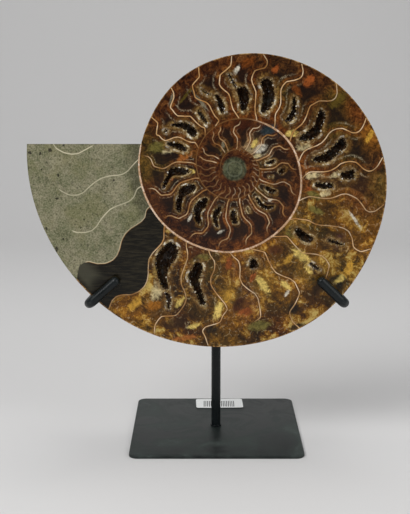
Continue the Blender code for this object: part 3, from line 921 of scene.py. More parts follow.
def wall_measures():
    """Distance to the nearest whorl wall, that wall's thickness and growth angle."""
    inner = np.where(whorl > 0, wall_radius(growth - TURN), 0.0)
    width = wall_radius(growth) - inner
    from_inner, from_outer = across * width, (1.0 - across) * width
    wall_growth = np.where(from_inner < from_outer, growth, growth + TURN)
    distance = np.minimum(from_inner, from_outer)
    distance[(whorl == LAST_WHORL) & (from_outer < from_inner)] = NO_WALL
    return distance, np.interp(wall_growth, *WALL_THICKNESS), wall_growth


def inside(places, ring):
    """True for the places that a closed outline holds."""
    x, z = places[:, 0], places[:, 1]
    result = np.zeros(len(places), bool)
    for (ax, az), (bx, bz) in zip(ring, np.roll(ring, -1, axis=0)):
        at = ax + (z - az) * (bx - ax) / (bz - az + TINY)
        result ^= ((az > z) != (bz > z)) & (x < at)
    return result


def hollow_measures():
    """Distance to the edge of a hollow, and how deep the surface sinks in it."""
    distance, depth = np.full(len(growth), NO_WALL), np.zeros(len(growth))
    for name, ring in outlines.items():
        low, high = ring.min(axis=0) - HOLLOW_REACH, ring.max(axis=0) + HOLLOW_REACH
        near = on_face & np.all((flat_place > low) & (flat_place < high), axis=1)
        gaps = distance_to_line(flat_place[near], ring, closed=True)
        gaps[inside(flat_place[near], ring)] *= -1.0
        limit = min(max(-float(gaps.min()) * DEPTH_SHARE, LEAST_DEPTH), MOST_DEPTH)
        if name.startswith("shallow"):
            limit = SHALLOW_LIMIT
        distance[near] = np.minimum(distance[near], gaps)
        sunk = limit * (1.0 - np.exp(-np.clip(-gaps, 0.0, None) * STEEPNESS / limit))
        depth[near] = np.maximum(depth[near], sunk)
    return distance, depth


wall_mm, wall_thick, wall_growth = wall_measures()
hollow_mm, hollow_depth = hollow_measures()
print("deepest hollow", round(float(hollow_depth.max()), 1), "mm")

# %% [markdown]
# ## The minerals
# The colours of the face come from what filled each part: honey and amber
# calcite, and rust and umber where iron came in. They are painted as soft
# patches: for each mineral its growth angles, places across the whorl and
# reach in mm. The finish adds the grain later.

# %% Mineral patches
MINERALS = {
    "amber": (156, 98, 26), "honey": (196, 148, 54), "olive": (88, 72, 24), "umber": (58, 37, 17),
    "mahogany": (58, 25, 10), "rust": (114, 60, 20), "orange": (164, 98, 42),
    "moss": (112, 102, 48), "cream": (208, 190, 142), "ash": (126, 119, 98), "plum": (70, 42, 38),
    "night": (44, 57, 61), "chestnut": (84, 46, 20), "bronze": (106, 76, 26),
    "gilt": (228, 198, 108), "vivid": (146, 76, 32), "pearl": (214, 206, 186),
    "soot": (24, 19, 13),
}
PATCHES = {
    "bronze": (
        (909, 0.2, 7), (1092, 0.5, 8), (1104, 0.15, 6), (1106, 0.75, 7), (1130, 0.9, 7),
        (1140, 0.3, 7), (1146, 0.7, 6), (1153, 0.65, 6), (1174, 0.9, 7), (1182, 0.62, 6),
        (1202, 0.66, 6), (440, 0.5, 3),
    ),
    "moss": ((911, 0.5, 6), (1017, 0.52, 5), (604, 0.25, 3)),
    "olive": (
        (914, 0.85, 8), (1030, 0.4, 6), (1055, 0.55, 6), (1047, 0.8, 6), (1072, 0.62, 7),
        (1090, 0.9, 8), (1100, 0.35, 6), (1117, 0.3, 6), (1120, 0.88, 8), (1128, 0.72, 6),
        (1180, 0.2, 6), (1200, 0.97, 5), (708, 0.15, 3), (760, 0.2, 3), (900, 0.85, 5),
    ),
    "rust": (
        (925, 0.2, 6), (982, 0.15, 5), (1003, 0.18, 6), (1018, 0.1, 6), (1036, 0.1, 6),
        (1052, 0.95, 5), (1083, 0.12, 6), (1094, 0.7, 6), (1155, 0.85, 6), (1196, 0.12, 5),
        (622, 0.6, 4), (645, 0.3, 4), (733, 0.12, 3), (782, 0.4, 4), (800, 0.9, 5), (822, 0.35, 3),
        (470, 0.5, 3),
    ),
    "umber": (
        (925, 0.62, 6), (943, 0.3, 8), (978, 0.55, 8), (1000, 0.9, 8), (1014, 0.75, 7),
        (1020, 0.93, 8), (1032, 0.65, 8), (1048, 0.25, 5), (1063, 0.3, 5), (1075, 0.85, 6),
        (1078, 0.3, 5), (1116, 0.55, 5), (1160, 0.88, 6), (1180, 0.4, 5), (1194, 0.38, 5),
        (1213, 0.2, 3), (550, 0.5, 5), (580, 0.5, 5), (620, 0.3, 4), (684, 0.6, 4), (715, 0.6, 4),
        (740, 0.5, 4), (866, 0.35, 3), (888, 0.3, 3), (250, 0.5, 3),
    ),
    "chestnut": (
        (930, 0.9, 7), (950, 0.9, 8), (985, 0.75, 7), (990, 0.93, 7), (1030, 0.92, 7),
        (1142, 0.9, 8), (1186, 0.85, 7), (600, 0.75, 5), (645, 0.75, 5), (700, 0.85, 5),
        (738, 0.85, 5), (770, 0.8, 5), (795, 0.7, 4), (843, 0.35, 3), (885, 0.8, 5), (410, 0.5, 3),
        (300, 0.5, 3),
    ),
    "mahogany": (
        (946, 0.62, 8), (962, 0.3, 8), (965, 0.6, 9), (970, 0.9, 9), (998, 0.62, 8), (565, 0.8, 5),
        (560, 0.2, 4), (820, 0.75, 5), (842, 0.8, 5), (865, 0.8, 5), (380, 0.5, 3), (500, 0.5, 3),
        (530, 0.5, 3), (350, 0.5, 3),
    ),
    "amber": (
        (1068, 0.92, 5), (1104, 0.55, 6), (1105, 0.92, 6), (1128, 0.35, 6), (1142, 0.1, 6),
        (1146, 0.55, 7), (1162, 0.2, 7), (1172, 0.72, 6), (1203, 0.85, 7), (1098, 0.3, 8),
        (1111, 0.86, 7), (670, 0.35, 3),
    ),
    "honey": ((1128, 0.1, 5), (1134, 0.5, 6), (1155, 0.38, 5), (1172, 0.46, 5)),
    "orange": ((1165, 0.62, 5), (1172, 0.17, 5), (1086, 0.2, 7), (1094, 0.62, 8)),
    "plum": ((1165, 0.45, 5),),
    "cream": ((668, 0.2, 4),),
    "night": ((672, 0.88, 4),),
    "ash": ((685, 0.25, 4),),
}
GROUND_WEIGHT = 0.02
SECOND_FROM, LAST_FROM = 547.0, 906.0


def paint_minerals():
    """Blend of the patches, each whorl with its own."""
    weight = np.full(len(growth), GROUND_WEIGHT)
    colour = weight[:, None] * np.array(screen_colour(*MINERALS["umber"]))
    for mineral, patches in PATCHES.items():
        for at, where, reach in patches:
            x, z = face_place(at, whorl_radius(at, where))
            squared = (flat_place[:, 0] - x) ** 2 + (flat_place[:, 1] - z) ** 2
            same = whorl == 1 + (at > SECOND_FROM) + (at > LAST_FROM)
            pull = np.where(same, np.exp(-squared / (2.0 * reach ** 2)), 0.0)
            colour += pull[:, None] * np.array(screen_colour(*MINERALS[mineral]))
            weight += pull
    return colour / weight[:, None]


mineral_colour = paint_minerals()
print(sum(len(patches) for patches in PATCHES.values()), "mineral patches painted")

# %% [markdown]
# Smaller flakes with a ragged edge lie over the patches. Each has its growth
# angle and place across, its half length and half width in mm and its tilt.

# %% Flakes
FLAKES = {
    "vivid": (
        (1173, 0.13, 4, 2, 80), (1165, 0.65, 5, 2.4, 10), (1030, 0.82, 4, 2.4, 50),
        (1012, 0.8, 3, 1.6, 60), (1094, 0.12, 4, 1.8, 20), (1160, 0.3, 3, 1.6, 60),
        (890, 0.5, 2, 1, 40),
    ),
    "gilt": (
        (1156, 0.41, 6.5, 2.2, 125), (1176, 0.61, 5.5, 2.4, 70), (1132, 0.4, 9, 2.6, 135),
        (1133, 0.52, 4, 1.8, 120), (1126, 0.86, 3.4, 2, 40), (1146, 0.52, 3.4, 1.6, 140),
        (1208, 0.38, 5.5, 1.8, 80), (1192, 0.6, 4.6, 1.6, 50), (1048, 0.1, 3.6, 2, 20),
        (1184, 0.8, 4, 1.4, 20), (668, 0.33, 2.8, 1.4, 60), (897, 0.1, 2.4, 1.2, 0),
    ),
    "honey": (
        (1173, 0.47, 4.5, 2.4, 60), (1121, 0.87, 5, 2.4, 60), (1206, 0.8, 6, 2.6, 40),
        (1066, 0.93, 5, 1.6, 60), (1139, 0.3, 3.4, 1.8, 60),
    ),
    "moss": (
        (1127, 0.12, 5, 3, 30), (1107, 0.22, 5, 1.8, 160), (1161, 0.82, 7, 3, 10),
        (1191, 0.12, 6, 2.4, 20), (916, 0.7, 6, 3.2, 10), (1098, 0.16, 5, 2.2, 150),
    ),
    "chestnut": ((1143, 0.14, 4, 3, 0),),
    "soot": (
        (1147, 0.78, 4, 3, 60), (1148, 0.97, 5.5, 1.8, 20), (1178, 0.82, 4, 2.6, 20),
        (1128, 0.9, 3, 1.8, 70),
    ),
    "pearl": (
        (1103, 0.7, 6, 0.8, 125), (1147, 0.6, 2.6, 1, 60), (991, 0.76, 3.4, 1.2, 60),
        (682, 0.28, 3.4, 2, 30), (761, 0.42, 1.6, 0.9, 20), (822, 0.63, 2.2, 0.8, 30),
        (852, 0.6, 2.4, 0.8, 60),
    ),
    "mahogany": ((1168, 0.56, 5, 3, 60), (640, 0.8, 6, 3, 0)),
    "cream": (
        (1095, 0.29, 3.6, 2, 20), (1202, 0.56, 7, 3.6, 60), (917, 0.48, 4.6, 2, 20),
        (1062, 0.12, 4, 2.4, 0), (1085, 0.14, 5, 2.2, 10), (1083, 0.42, 4, 1.8, 20),
        (690, 0.1, 2.4, 1.2, 20),
    ),
    "plum": ((1115, 0.62, 5, 3.4, 70),),
    "umber": ((1191, 0.83, 6, 3.6, 20), (1135, 0.75, 5, 3, 60)),
    "amber": ((1200, 0.72, 5, 3, 10),),
    "olive": ((956, 0.72, 6, 0.9, 50), (1046, 0.84, 6, 3.4, 40)),
    "ash": ((963, 0.5, 7, 1, 130), (948, 0.86, 4, 1, 70), (604, 0.3, 2.6, 1, 80)),
    "orange": ((914, 0.22, 5, 2.2, 30), (1186, 0.94, 8, 1.6, 10)),
    "rust": ((997, 0.86, 5, 2.4, 30), (1028, 0.62, 4, 2, 120), (800, 0.93, 4, 1.6, 0)),
    "night": ((671, 0.9, 5, 2.6, 30),),
}


def lay_flakes():
    """How much of a flake each place has, and that flake's colour."""
    amount, colour = np.zeros(len(growth)), np.zeros((len(growth), 3))
    for mineral, flakes in FLAKES.items():
        for at, where, long, wide, tilt in flakes:
            right, up = (flat_place - face_place(at, whorl_radius(at, where))).T
            cos, sin = math.cos(math.radians(tilt)), math.sin(math.radians(tilt))
            along, beside = right * cos + up * sin, up * cos - right * sin
            pull = np.exp(-0.5 * ((along / long) ** 2 + (beside / wide) ** 2))
            better = on_face & (pull > amount)
            amount[better] = pull[better]
            colour[better] = screen_colour(*MINERALS[mineral])
    return amount, colour


flake, flake_colour = lay_flakes()
print(sum(len(flakes) for flakes in FLAKES.values()), "flakes laid")

# %% [markdown]
# ## Sinking the hollows and building the mesh
# The grid's points inside a hollow are pushed back, deeper toward its middle,
# with small steps like broken crystal. Then all points and faces become one
# closed mesh. The measures are stored on the face corners, because two whorls
# that share a point know different things about it.

# %% The fossil mesh
ROUGH, ROUGH_BELOW, ROUGH_SEED = 0.35, 0.8, 7
FOSSIL_SHARP = 32.0


def sink_hollows():
    dice = random.Random(ROUGH_SEED)
    sunk = {}
    for sample in range(face_samples):
        if hollow_depth[sample] > 0.0:
            point = Body.point[sample]
            sunk[point] = max(sunk.get(point, 0.0), hollow_depth[sample])
    for point, depth in sunk.items():
        x, y, z = Body.points[point]
        rough = dice.uniform(-ROUGH, ROUGH) if depth > ROUGH_BELOW else 0.0
        Body.points[point] = (x, y + depth + rough, z)


def turned_out(corners, finish):
    """The corners in the order that makes the face look outward."""
    a, b, c = (np.array(Body.points[Body.point[corners[k]]]) for k in (0, 1, -1))
    normal = np.cross(b - a, c - a)
    outward = {POLISHED: -normal[1], NATURAL: normal[1], SAWN: normal[2]}[finish]
    return corners if outward > 0.0 else corners[::-1]


def build_fossil():
    sink_hollows()
    faces = [turned_out(corners, finish) for corners, finish in zip(Body.faces, Body.finish)]
    mesh = bpy.data.meshes.new("fossil")
    mesh.from_pydata([tuple(v * MM for v in p) for p in Body.points], [],
                     [[Body.point[s] for s in corners] for corners in faces])
    corner_samples = np.array([s for corners in faces for s in corners])
    measures = {"seam_mm": seam_mm, "seam_show": seam_show, "chamber": chamber, "flake": flake,
                "centre_mm": centre_mm, "wall_mm": wall_mm, "wall_thick": wall_thick,
                "hollow_mm": hollow_mm, "growth": growth, "across": across,
                "wall_growth": wall_growth, "whorl": whorl}
    for name, values in measures.items():
        layer = mesh.attributes.new(name, "FLOAT", "CORNER")
        layer.data.foreach_set("value", values[corner_samples].astype(np.float32))
    for name, values in (("mineral", mineral_colour), ("flake_colour", flake_colour)):
        layer = mesh.attributes.new(name, "FLOAT_COLOR", "CORNER")
        opaque = np.column_stack([values, np.ones(len(growth))])[corner_samples]
        layer.data.foreach_set("color", opaque.astype(np.float32).ravel())
    mesh.polygons.foreach_set("material_index", np.array(Body.finish, dtype=np.int32))
    mesh.update()
    mesh.shade_smooth()
    mesh.set_sharp_from_angle(angle=math.radians(FOSSIL_SHARP))
    return mesh


fossil_mesh = build_fossil()
fossil_mesh.calc_loop_triangles()
print(len(fossil_mesh.loop_triangles), "triangles in the fossil")

# %% [markdown]
# ## The polished stone
# The finish follows the measures and is laid down in layers, one cell each.
# First comes a marbled ground: brown in the crystal chambers, golden toward
# the mouth, tinted by the mineral patches.

# %% Marbled ground
stone = Finish("polished_stone", specular=0.2)
mix, ramp, tones, noise, measure = stone.mix, stone.ramp, stone.tones, stone.noise, stone.measure
fine = noise(900, 4, 0.6)
blot = noise(230, 5, 0.65, 1.3)
broad = noise(85, 3, 0.55, 0.5)
flow = noise(105, 5, 0.6, 1.8)
patchy = noise(38, 2)
hollow, centre, wall_gap = measure("hollow_mm"), measure("centre_mm"), measure("wall_mm")
turn_number, outward = measure("whorl"), measure("across")
golden = ramp(measure("growth"), 1078, 1110)


def around(value, size):
    """A noise as a push both ways, so many mm wide."""
    return (value - 0.5) * size


tone = blot * 0.62 + fine * 0.2 + broad * 0.18
brown = tones(tone, (0.39, (12, 7, 5)), (0.46, (38, 19, 9)), (0.52, (72, 40, 17)),
              (0.59, (112, 70, 30)), (0.66, (160, 122, 70)))
gilded = noise(62, 3, 0.5, 1.0) * 0.45 + flow * 0.4 + fine * 0.15
gold = tones(gilded, (0.44, (16, 10, 3)), (0.485, (54, 34, 8)), (0.52, (102, 66, 14)),
             (0.555, (164, 116, 32)), (0.61, (230, 200, 112)))
tinted = stone.shaded("mineral", ramp(tone, 0.38, 0.64, 0.3, 2.0, smooth=False))
colour = mix(ramp(golden, 0, 1, 0.5, 0.36), mix(golden, brown, gold), tinted)
print("ground laid with", len(stone.nodes), "nodes")

# %% [markdown]
# Calcite grew inward from the chamber walls, layer by layer. So the distance
# from the nearest wall, bent by noise, picks the colour: rust beside the
# wall, a pale line, then a dark core. The golden part has cream veins, and
# the ragged flakes lie over all of it.

# %% Growth layers and flakes
septum_gap = stone.math("ABSOLUTE", measure("seam_mm"))
edge = stone.math("SMOOTH_MIN", septum_gap, wall_gap, 1.5)
scale = ramp(turn_number, 2.4, 2.6, 1.9, 1.0)
layer = edge * scale + around(blot, 4.5) + around(fine, 1.2)
inner_part = ramp(outward, 0.86, 0.72)
calm = ramp(golden, 0, 1, 1.0, 0.3)
core = ramp(layer, 4.2, 5.4, 0.0, 0.85) * inner_part * calm
colour = mix(core, colour, (27, 17, 12))
rust = ramp(layer, 3.6, 1.6, 0.0, 0.75) * ramp(flow, 0.4, 0.6, 0.1, 1.0) * calm
colour = mix(rust, colour, tones(tone, (0.4, (44, 19, 8)), (0.5, (84, 42, 15)),
                                 (0.58, (130, 76, 28)), (0.66, (176, 124, 58))))
pale = ramp(layer, 3.1, 3.7) * ramp(layer, 4.9, 4.2) * inner_part * calm
pale *= ramp(fine, 0.42, 0.6, 0.1, 0.8) * ramp(patchy, 0.46, 0.58)
colour = mix(pale, colour, (150, 138, 112))
veins = stone.cells(150, stone.bent_place(160, 0.006), "DISTANCE_TO_EDGE")
vein = ramp(veins, 0.05, 0.015) * ramp(blot, 0.5, 0.62) * golden * 0.3
colour = mix(vein, colour, (226, 208, 160))
torn = measure("flake") + around(blot, 1.1) + around(fine, 0.35)
flaked = stone.shaded("flake_colour", ramp(tone, 0.4, 0.62, 0.55, 1.25))
colour = mix(ramp(torn, 0.28, 0.8, 0.0, 0.88), colour, flaked)
print("layers and flakes laid")

# %% [markdown]
# Round the hollows there is a wide brown glow and then a thin ragged cream
# edge of crystals, both strongest at the end that points to the middle; its
# brightest near-white spots are painted glints. The hollow itself gets a
# near-black painted shade. The middle of the spiral is a grey-green disc in
# red-brown stone.

# %% Fringes and the middle
inner_end = ramp(outward, 0.66, 0.3)
wide = (hollow + around(broad, 9.0) + around(blot, 4.0)) * scale
colour = mix(ramp(wide, 4.4, 1.2, 0.0, 0.75), colour,
             tones(tone, (0.42, (58, 35, 14)), (0.52, (110, 76, 32)), (0.62, (178, 146, 84))))
ragged = (hollow + around(fine, 1.4) + around(blot, 3.0)) * scale - inner_end * 0.5
fringe = ramp(ragged, 1.5, 0.4) * ramp(inner_end, 0, 1, 0.35, 1.0)
fringe *= ramp(noise(150, 2), 0.42, 0.58, 0.05, 1.0)
# The fringe is cream crystal colour; its rare near-white top tones are painted glints.
glint = noise(420, 3, 0.6) * 0.6 + noise(110, 2) * 0.4
colour = mix(fringe, colour, tones(glint, (0.4, (92, 62, 32)), (0.47, (146, 120, 78)),
                                   (0.54, (196, 178, 138)), (0.61, (244, 238, 224))))
# Painted shade: the inside of each hollow is darkened to near black-brown.
painted_hollow_shade = tones(blot, (0.4, (12, 7, 4)), (0.55, (30, 17, 9)), (0.68, (64, 42, 24)))
colour = mix(ramp(hollow, 0.0, -0.5, 0.0, 0.97), colour, painted_hollow_shade)
colour = mix(ramp(turn_number, 1.4, 1.3) * 0.8, colour,
             tones(tone, (0.4, (34, 15, 7)), (0.5, (66, 32, 13)), (0.62, (108, 66, 30))))
disc_colour = mix(ramp(tone, 0.4, 0.6), (48, 50, 34), (96, 98, 72))
disc_ring = ramp(centre, 4.3, 4.8) * ramp(centre, 5.9, 5.3) * 0.35
disc_colour = mix(disc_ring, disc_colour, (116, 120, 98))
disc = ramp(centre + around(fine, 0.8) + around(blot, 1.5), 9.2, 7.2)
colour = mix(disc, colour, disc_colour)
print("fringes and middle laid")

# %% [markdown]
# Past the last crystal chamber the stone was filled from outside: one chamber
# with dark sediment, brushed in one direction and paler in a pocket near the
# rim, and the rest with grainy sandstone, whose pits are larger toward the
# rim. Sandstone takes less polish.

# %% Sediment and sandstone
DARK_FROM = len(all_septa) - 5  # the septum where the dark sediment begins
chamber_at = measure("chamber")
pits = ramp(stone.cells(240, stone.bent_place(420, 0.004)), 0.1, 0.22)
sand = tones(fine * 0.6 + broad * 0.4, (0.36, (92, 92, 66)), (0.46, (118, 120, 90)),
             (0.54, (136, 130, 106)), (0.64, (158, 154, 124)))
hole_size = ramp(outward, 0.5, 0.98, 0.6, 1.6) * ramp(noise(48, 2), 0.42, 0.6, 0.4, 1.3)
holes = ramp(stone.cells(150, stone.bent_place(420, 0.003)) / hole_size, 0.16, 0.09)
for share, shade in (
        (ramp(noise(60), 0.48, 0.66, 0.0, 0.45), (116, 114, 72)),
        (ramp(blot, 0.52, 0.68, 0.0, 0.45), (150, 140, 112)),
        (ramp(blot, 0.46, 0.36, 0.0, 0.4), (78, 76, 52)),
        ((1.0 - pits) * 0.5, (40, 36, 28)),
        (holes * 0.9, (26, 22, 15)),
        (ramp(wall_gap + around(broad, 22.0), 11.0, 3.0, 0.0, 0.75), (66, 64, 45)),
        (ramp(fine, 0.5, 0.66, 0.0, 0.3), (156, 152, 122)),
        (ramp(fine, 0.48, 0.34, 0.0, 0.35), (70, 66, 46))):
    sand = mix(share, sand, shade)
brushed = stone.add("Mapping", {"Vector": stone.place(), "Scale": (0.12, 1.0, 1.0),
                                "Rotation": (0.0, math.radians(-35.0), 0.0)})
streaks = ramp(noise(900, 3, 0.6, vector=brushed), 0.4, 0.66)
pocket = ramp(outward, 0.74, 0.86) * ramp(outward, 0.99, 0.93)
pocket *= ramp(chamber_at, DARK_FROM + 0.45, DARK_FROM + 0.7)
sediment = mix(pocket * 0.7, mix(streaks, (20, 17, 10), (44, 39, 27)), (78, 76, 62))
colour = mix(ramp(chamber_at, DARK_FROM - 0.001, DARK_FROM + 0.001), colour, sediment)
in_sand = ramp(chamber_at, DARK_FROM + 0.999, DARK_FROM + 1.001)
in_crystal = 1.0 - in_sand
colour = mix(in_sand, colour, sand)
print("sediment starts at septum", DARK_FROM)

# %% [markdown]
# Last come the lines: a dark outline and the tan septa, the cream walls
# between the whorls, which are brown in the early ones, and the thin golden
# edge of the outer shell. All of them waver a little in width.

# %% Septa, walls and rim
thin = septum_gap + around(fine, 0.35) + around(broad, 0.35)
show = measure("seam_show") * ramp(hollow, -0.2, 0.2) * ramp(patchy, 0.4, 0.56, 0.6, 1.0)
show *= ramp(turn_number, 1.0, 2.8, 0.55, 1.0, smooth=False) * ramp(centre, 12.4, 13.8)
colour = mix(ramp(thin, 1.25, 0.5, 0.0, 0.5) * in_crystal * show, colour, (48, 28, 16))
septum = tones(broad, (0.38, (172, 122, 66)), (0.5, (206, 164, 112)), (0.62, (236, 206, 166)))
colour = mix(ramp(thin, 0.48, 0.24) * show, colour, mix(in_sand, septum, (206, 198, 168)))
gap = (wall_gap + around(fine, 0.8) + around(blot, 0.9)) / measure("wall_thick")
bright = ramp(measure("wall_growth"), 1000, 1040) * ramp(patchy, 0.36, 0.5, 0.7, 1.0)
shell_tone = tones(blot, (0.38, (178, 136, 98)), (0.5, (212, 176, 142)), (0.62, (238, 214, 190)))
colour = mix(ramp(gap, 1.0, 0.65) * ramp(centre, 9.0, 11.0, 0.15, 1.0), colour,
             mix(bright, (112, 78, 42), shell_tone))
rim = ramp(outward, 0.984, 0.993) * ramp(turn_number, 2.6, 2.9) * in_crystal
colour = mix(rim, colour, tones(blot, (0.4, (70, 46, 20)), (0.52, (146, 106, 54)),
                                (0.64, (206, 174, 116))))
stone.set("Base Color", colour)
stone.set("Roughness", ramp(in_sand, 0, 1, 0.22, 0.55))
stone.bump(pits * in_sand, 0.35, 0.0004)
fossil_mesh.materials.append(stone.material)
print("polished stone made with", len(stone.nodes), "nodes")

# %% [markdown]
# ## The natural back and the sawn end
# The back keeps the weathered shell: brown and buff, with painted shade and
# painted highlight in bands that follow the ribs, and fine growth lines that
# run along them. The sawn end is the same filling as the face near the mouth,
# but dull.

# %% Back and cut
GROWTH_LINES = 5.2  # how close the lines are


def weathered_shell():
    shell = Finish("weathered_shell", roughness=0.55, specular=0.3)
    blot = shell.noise(110, 6, 0.66, 0.6)
    cloud = shell.noise(28, 4)
    fine = shell.noise(700, 4, 0.6)
    turns = shell.measure("growth") + blot * 3.0
    lines = shell.math("SINE", turns * GROWTH_LINES + fine * 3.0)
    ribs = shell.math("COSINE", turns * (2.0 * math.pi / RIB_SPACING))
    colour = shell.tones(blot, (0.36, (58, 40, 26)), (0.46, (92, 68, 44)), (0.54, (122, 96, 64)),
                         (0.66, (164, 142, 104)))
    for value, low, high, start, finish, shade in (
            (cloud, 0.5, 0.64, 0.0, 0.55, (116, 112, 90)),
            (cloud, 0.48, 0.36, 0.0, 0.5, (96, 58, 34)),
            # Painted shade and painted highlight in bands that follow the ribs
            (ribs, -0.2, 1.0, 0.0, 0.4, (48, 34, 23)),
            (ribs, 0.0, -1.0, 0.0, 0.3, (168, 146, 108)),
            (lines, -1.0, 1.0, 0.0, 0.3, (60, 44, 30)),
            (fine, 0.3, 0.7, 0.3, 0.0, (44, 32, 22))):
        colour = shell.mix(shell.ramp(value, low, high, start, finish), colour, shade)
    shell.set("Base Color", colour)
    shell.bump(lines * 0.3 + fine, 0.5, 0.0005)
    return shell.material


def sawn_stone():
    stone = Finish("sawn_stone", roughness=0.7, specular=0.3)
    blot = stone.ramp(stone.noise(150, 4, 0.6), 0.3, 0.7)
    pits = stone.ramp(stone.cells(420), 0.16, 0.32)
    colour = stone.mix(blot, (98, 95, 74), (134, 130, 104))
    stone.set("Base Color", stone.mix((1.0 - pits) * 0.6, colour, (40, 36, 28)))
    stone.bump(pits, 0.4, 0.0004)
    return stone.material


fossil_mesh.materials.append(weathered_shell())
fossil_mesh.materials.append(sawn_stone())
place_piece("fossil", fossil_mesh, "ammonite_half")
print("fossil placed with", len(fossil_mesh.materials), "finishes")

# %% [markdown]
# ## Calcite crystals
# Inside the hollows the calcite grew as small pointed crystals, cream near
# the polished face. Deeper in they are darkened to near black-brown as
# painted shade: the finish reads the depth, and a random number for each
# crystal keeps them from looking alike.

# %% Calcite
CREAM_DEPTH, FULL_SHADE_DEPTH = 0.2, 2.4


def calcite():
    """Cream near the face, darkened by painted shade deep inside, each crystal its own."""
    stone = Finish("calcite", roughness=0.2)
    island = stone.add("NewGeometry", output="Random Per Island")
    # Painted shade: the deeper a crystal lies behind the face, the darker it is painted.
    deep = stone.ramp(stone.axis("Y"), (FACE_Y + CREAM_DEPTH) * MM, (FACE_Y + FULL_SHADE_DEPTH) * MM)
    light = stone.tones(island, (0.0, (74, 54, 28)), (0.5, (116, 94, 56)), (0.82, (164, 146, 104)),
                        (0.96, (232, 226, 212)))
    light = stone.mix(stone.ramp(stone.noise(120, 2), 0.45, 0.6, 0.0, 0.5), light, (120, 94, 46))
    dark = stone.tones(island, (0.0, (16, 9, 5)), (0.8, (38, 24, 14)), (0.97, (108, 92, 68)))
    stone.set("Base Color", stone.mix(deep, light, dark))
    return stone.material


calcite_finish = calcite()
print("calcite made")

# %% [markdown]
# Each crystal is a short six-sided spike that stands on the hollow's side and
# leans toward its middle. They are scattered by a seeded dice and joined to
# one mesh per hollow, cut off at the polished face as the real ones were.

# %% Crystals
CRYSTAL_SIDES = 6
CRYSTAL_PROFILE = ((0.0, 0.75), (0.55, 1.0), (0.86, 0.45))  # shares of length and width
CRYSTALS_PER_MM = 1.7
SHALLOW_REACH, DEEP_REACH = 1.2, 4.5
FOOT_DEPTH, FOOT_BACK = 0.25, 0.3
FACE_GAP = 0.05  # how far the crystals stay below the polished face
BURIED, WALL_SLOPE, SPREAD = 0.05, 0.3, 0.1
LEAN, FORWARD = (-0.5, 0.5), (-0.6, 0.1)
WIDTHS, SLENDER = (0.35, 0.75), (1.4, 2.4)
FIRST_SEED = 11


def crystal_spike(bm, foot, direction, length, radius, turn):
    """A spike with a broad waist and a blunt point."""
    foot, axis = Vector(foot), Vector(direction).normalized()
    side = axis.orthogonal().normalized()
    rings = []
    for share, width in CRYSTAL_PROFILE:
        spots = circle(foot + axis * (length * share), side, axis.cross(side), radius * width,
                       CRYSTAL_SIDES, turn)
        for spot in spots:
            spot.y = max(spot.y, FACE_Y + FACE_GAP)
        rings.append(ring_of(bm, spots))
    tip = foot + axis * length
    tip.y = max(tip.y, FACE_Y + 0.4 * FACE_GAP)
    tip = bm.verts.new(tip * MM)
    bm.faces.new(rings[0][::-1])
    skin(bm, rings)
    for first, second in zip(rings[-1], rings[-1][1:] + rings[-1][:1]):
        bm.faces.new((first, second, tip))


def line_hollow(name, ring, seed):
    """Crystals round one hollow, as one mesh."""
    dice = random.Random(seed)
    middle = ring.mean(axis=0)
    limit = SHALLOW_REACH if name.startswith("shallow") else DEEP_REACH
    bm = bmesh.new()
    for start, end in zip(ring, np.roll(ring, -1, axis=0)):
        length = float(np.hypot(*(end - start)))
        along = (end - start) / length
        inward = np.array([-along[1], along[0]])
        if (middle - start) @ inward < 0.0:
            inward = -inward
        for _ in range(max(1, round(length * CRYSTALS_PER_MM))):
            spot = start + along * dice.uniform(0.0, length)
            depth = limit * dice.random() ** 1.2
            spot = spot + inward * (BURIED + WALL_SLOPE * depth + dice.uniform(-SPREAD, SPREAD))
            if not inside(spot[None, :], ring)[0]:
                continue
            lean = inward + along * dice.uniform(*LEAN)
            direction = (lean[0], dice.uniform(*FORWARD), lean[1])
            width = dice.uniform(*WIDTHS)
            x, z = spot - inward * FOOT_BACK
            crystal_spike(bm, (x, FACE_Y + FOOT_DEPTH + depth, z), direction,
                          width * dice.uniform(*SLENDER), width, dice.random())
    node = None
    if name in CRUSTED:
        node = f"chamber_crystals_{CRUSTED.index(name) + 1:02d}"
    build_piece("crystals_" + name, bm, calcite_finish, node, sharp=0)


for seed, (name, ring) in enumerate(outlines.items(), FIRST_SEED):
    line_hollow(name, ring, seed)
print(len(outlines), "hollows lined")

# %% [markdown]
# ## Black paint
# The stand is steel under a satin black paint. It is nearly one colour, so
# what makes it real is small: a fine orange-peel texture, faint cloudy
# smudges where hands touched it, a few specks and paler rubbed places.

# %% Paint
def black_paint(name, colour, smudge, roughness):
    paint = Finish(name, roughness=roughness, specular=0.25)
    cloud = paint.noise(26, 6, 0.68, 1.4)
    between = tuple(0.5 * (a + b) for a, b in zip(colour, smudge))
    shade = paint.tones(cloud, (0.4, colour), (0.52, between), (0.64, smudge))
    rub = paint.ramp(paint.noise(240, 4, 0.7), 0.56, 0.66) * paint.ramp(cloud, 0.5, 0.6)
    shade = paint.mix(rub * 0.3, shade, (92, 100, 98))
    speck = paint.ramp(paint.noise(1500, 2), 0.66, 0.72)
    paint.set("Base Color", paint.mix(speck * 0.25, shade, (96, 98, 94)))
    paint.set("Roughness", paint.ramp(cloud, 0.4, 0.62, roughness - 0.06, roughness + 0.12))
    paint.bump(paint.noise(1100, 2), 0.12, 0.0003)
    return paint.material


rod_paint = black_paint("rod_paint", (13, 17, 18), (26, 32, 33), 0.3)
plate_paint = black_paint("plate_paint", (22, 27, 26), (58, 66, 62), 0.45)
print("two paints")

# %% [markdown]
# ## Rods of the stand
# Post and arms are round bar, 7 mm thick. A bar is a circle carried along a
# route. The rings are placed one by one here instead of with a curve's bevel,
# so that the claws can end in rounded tips.

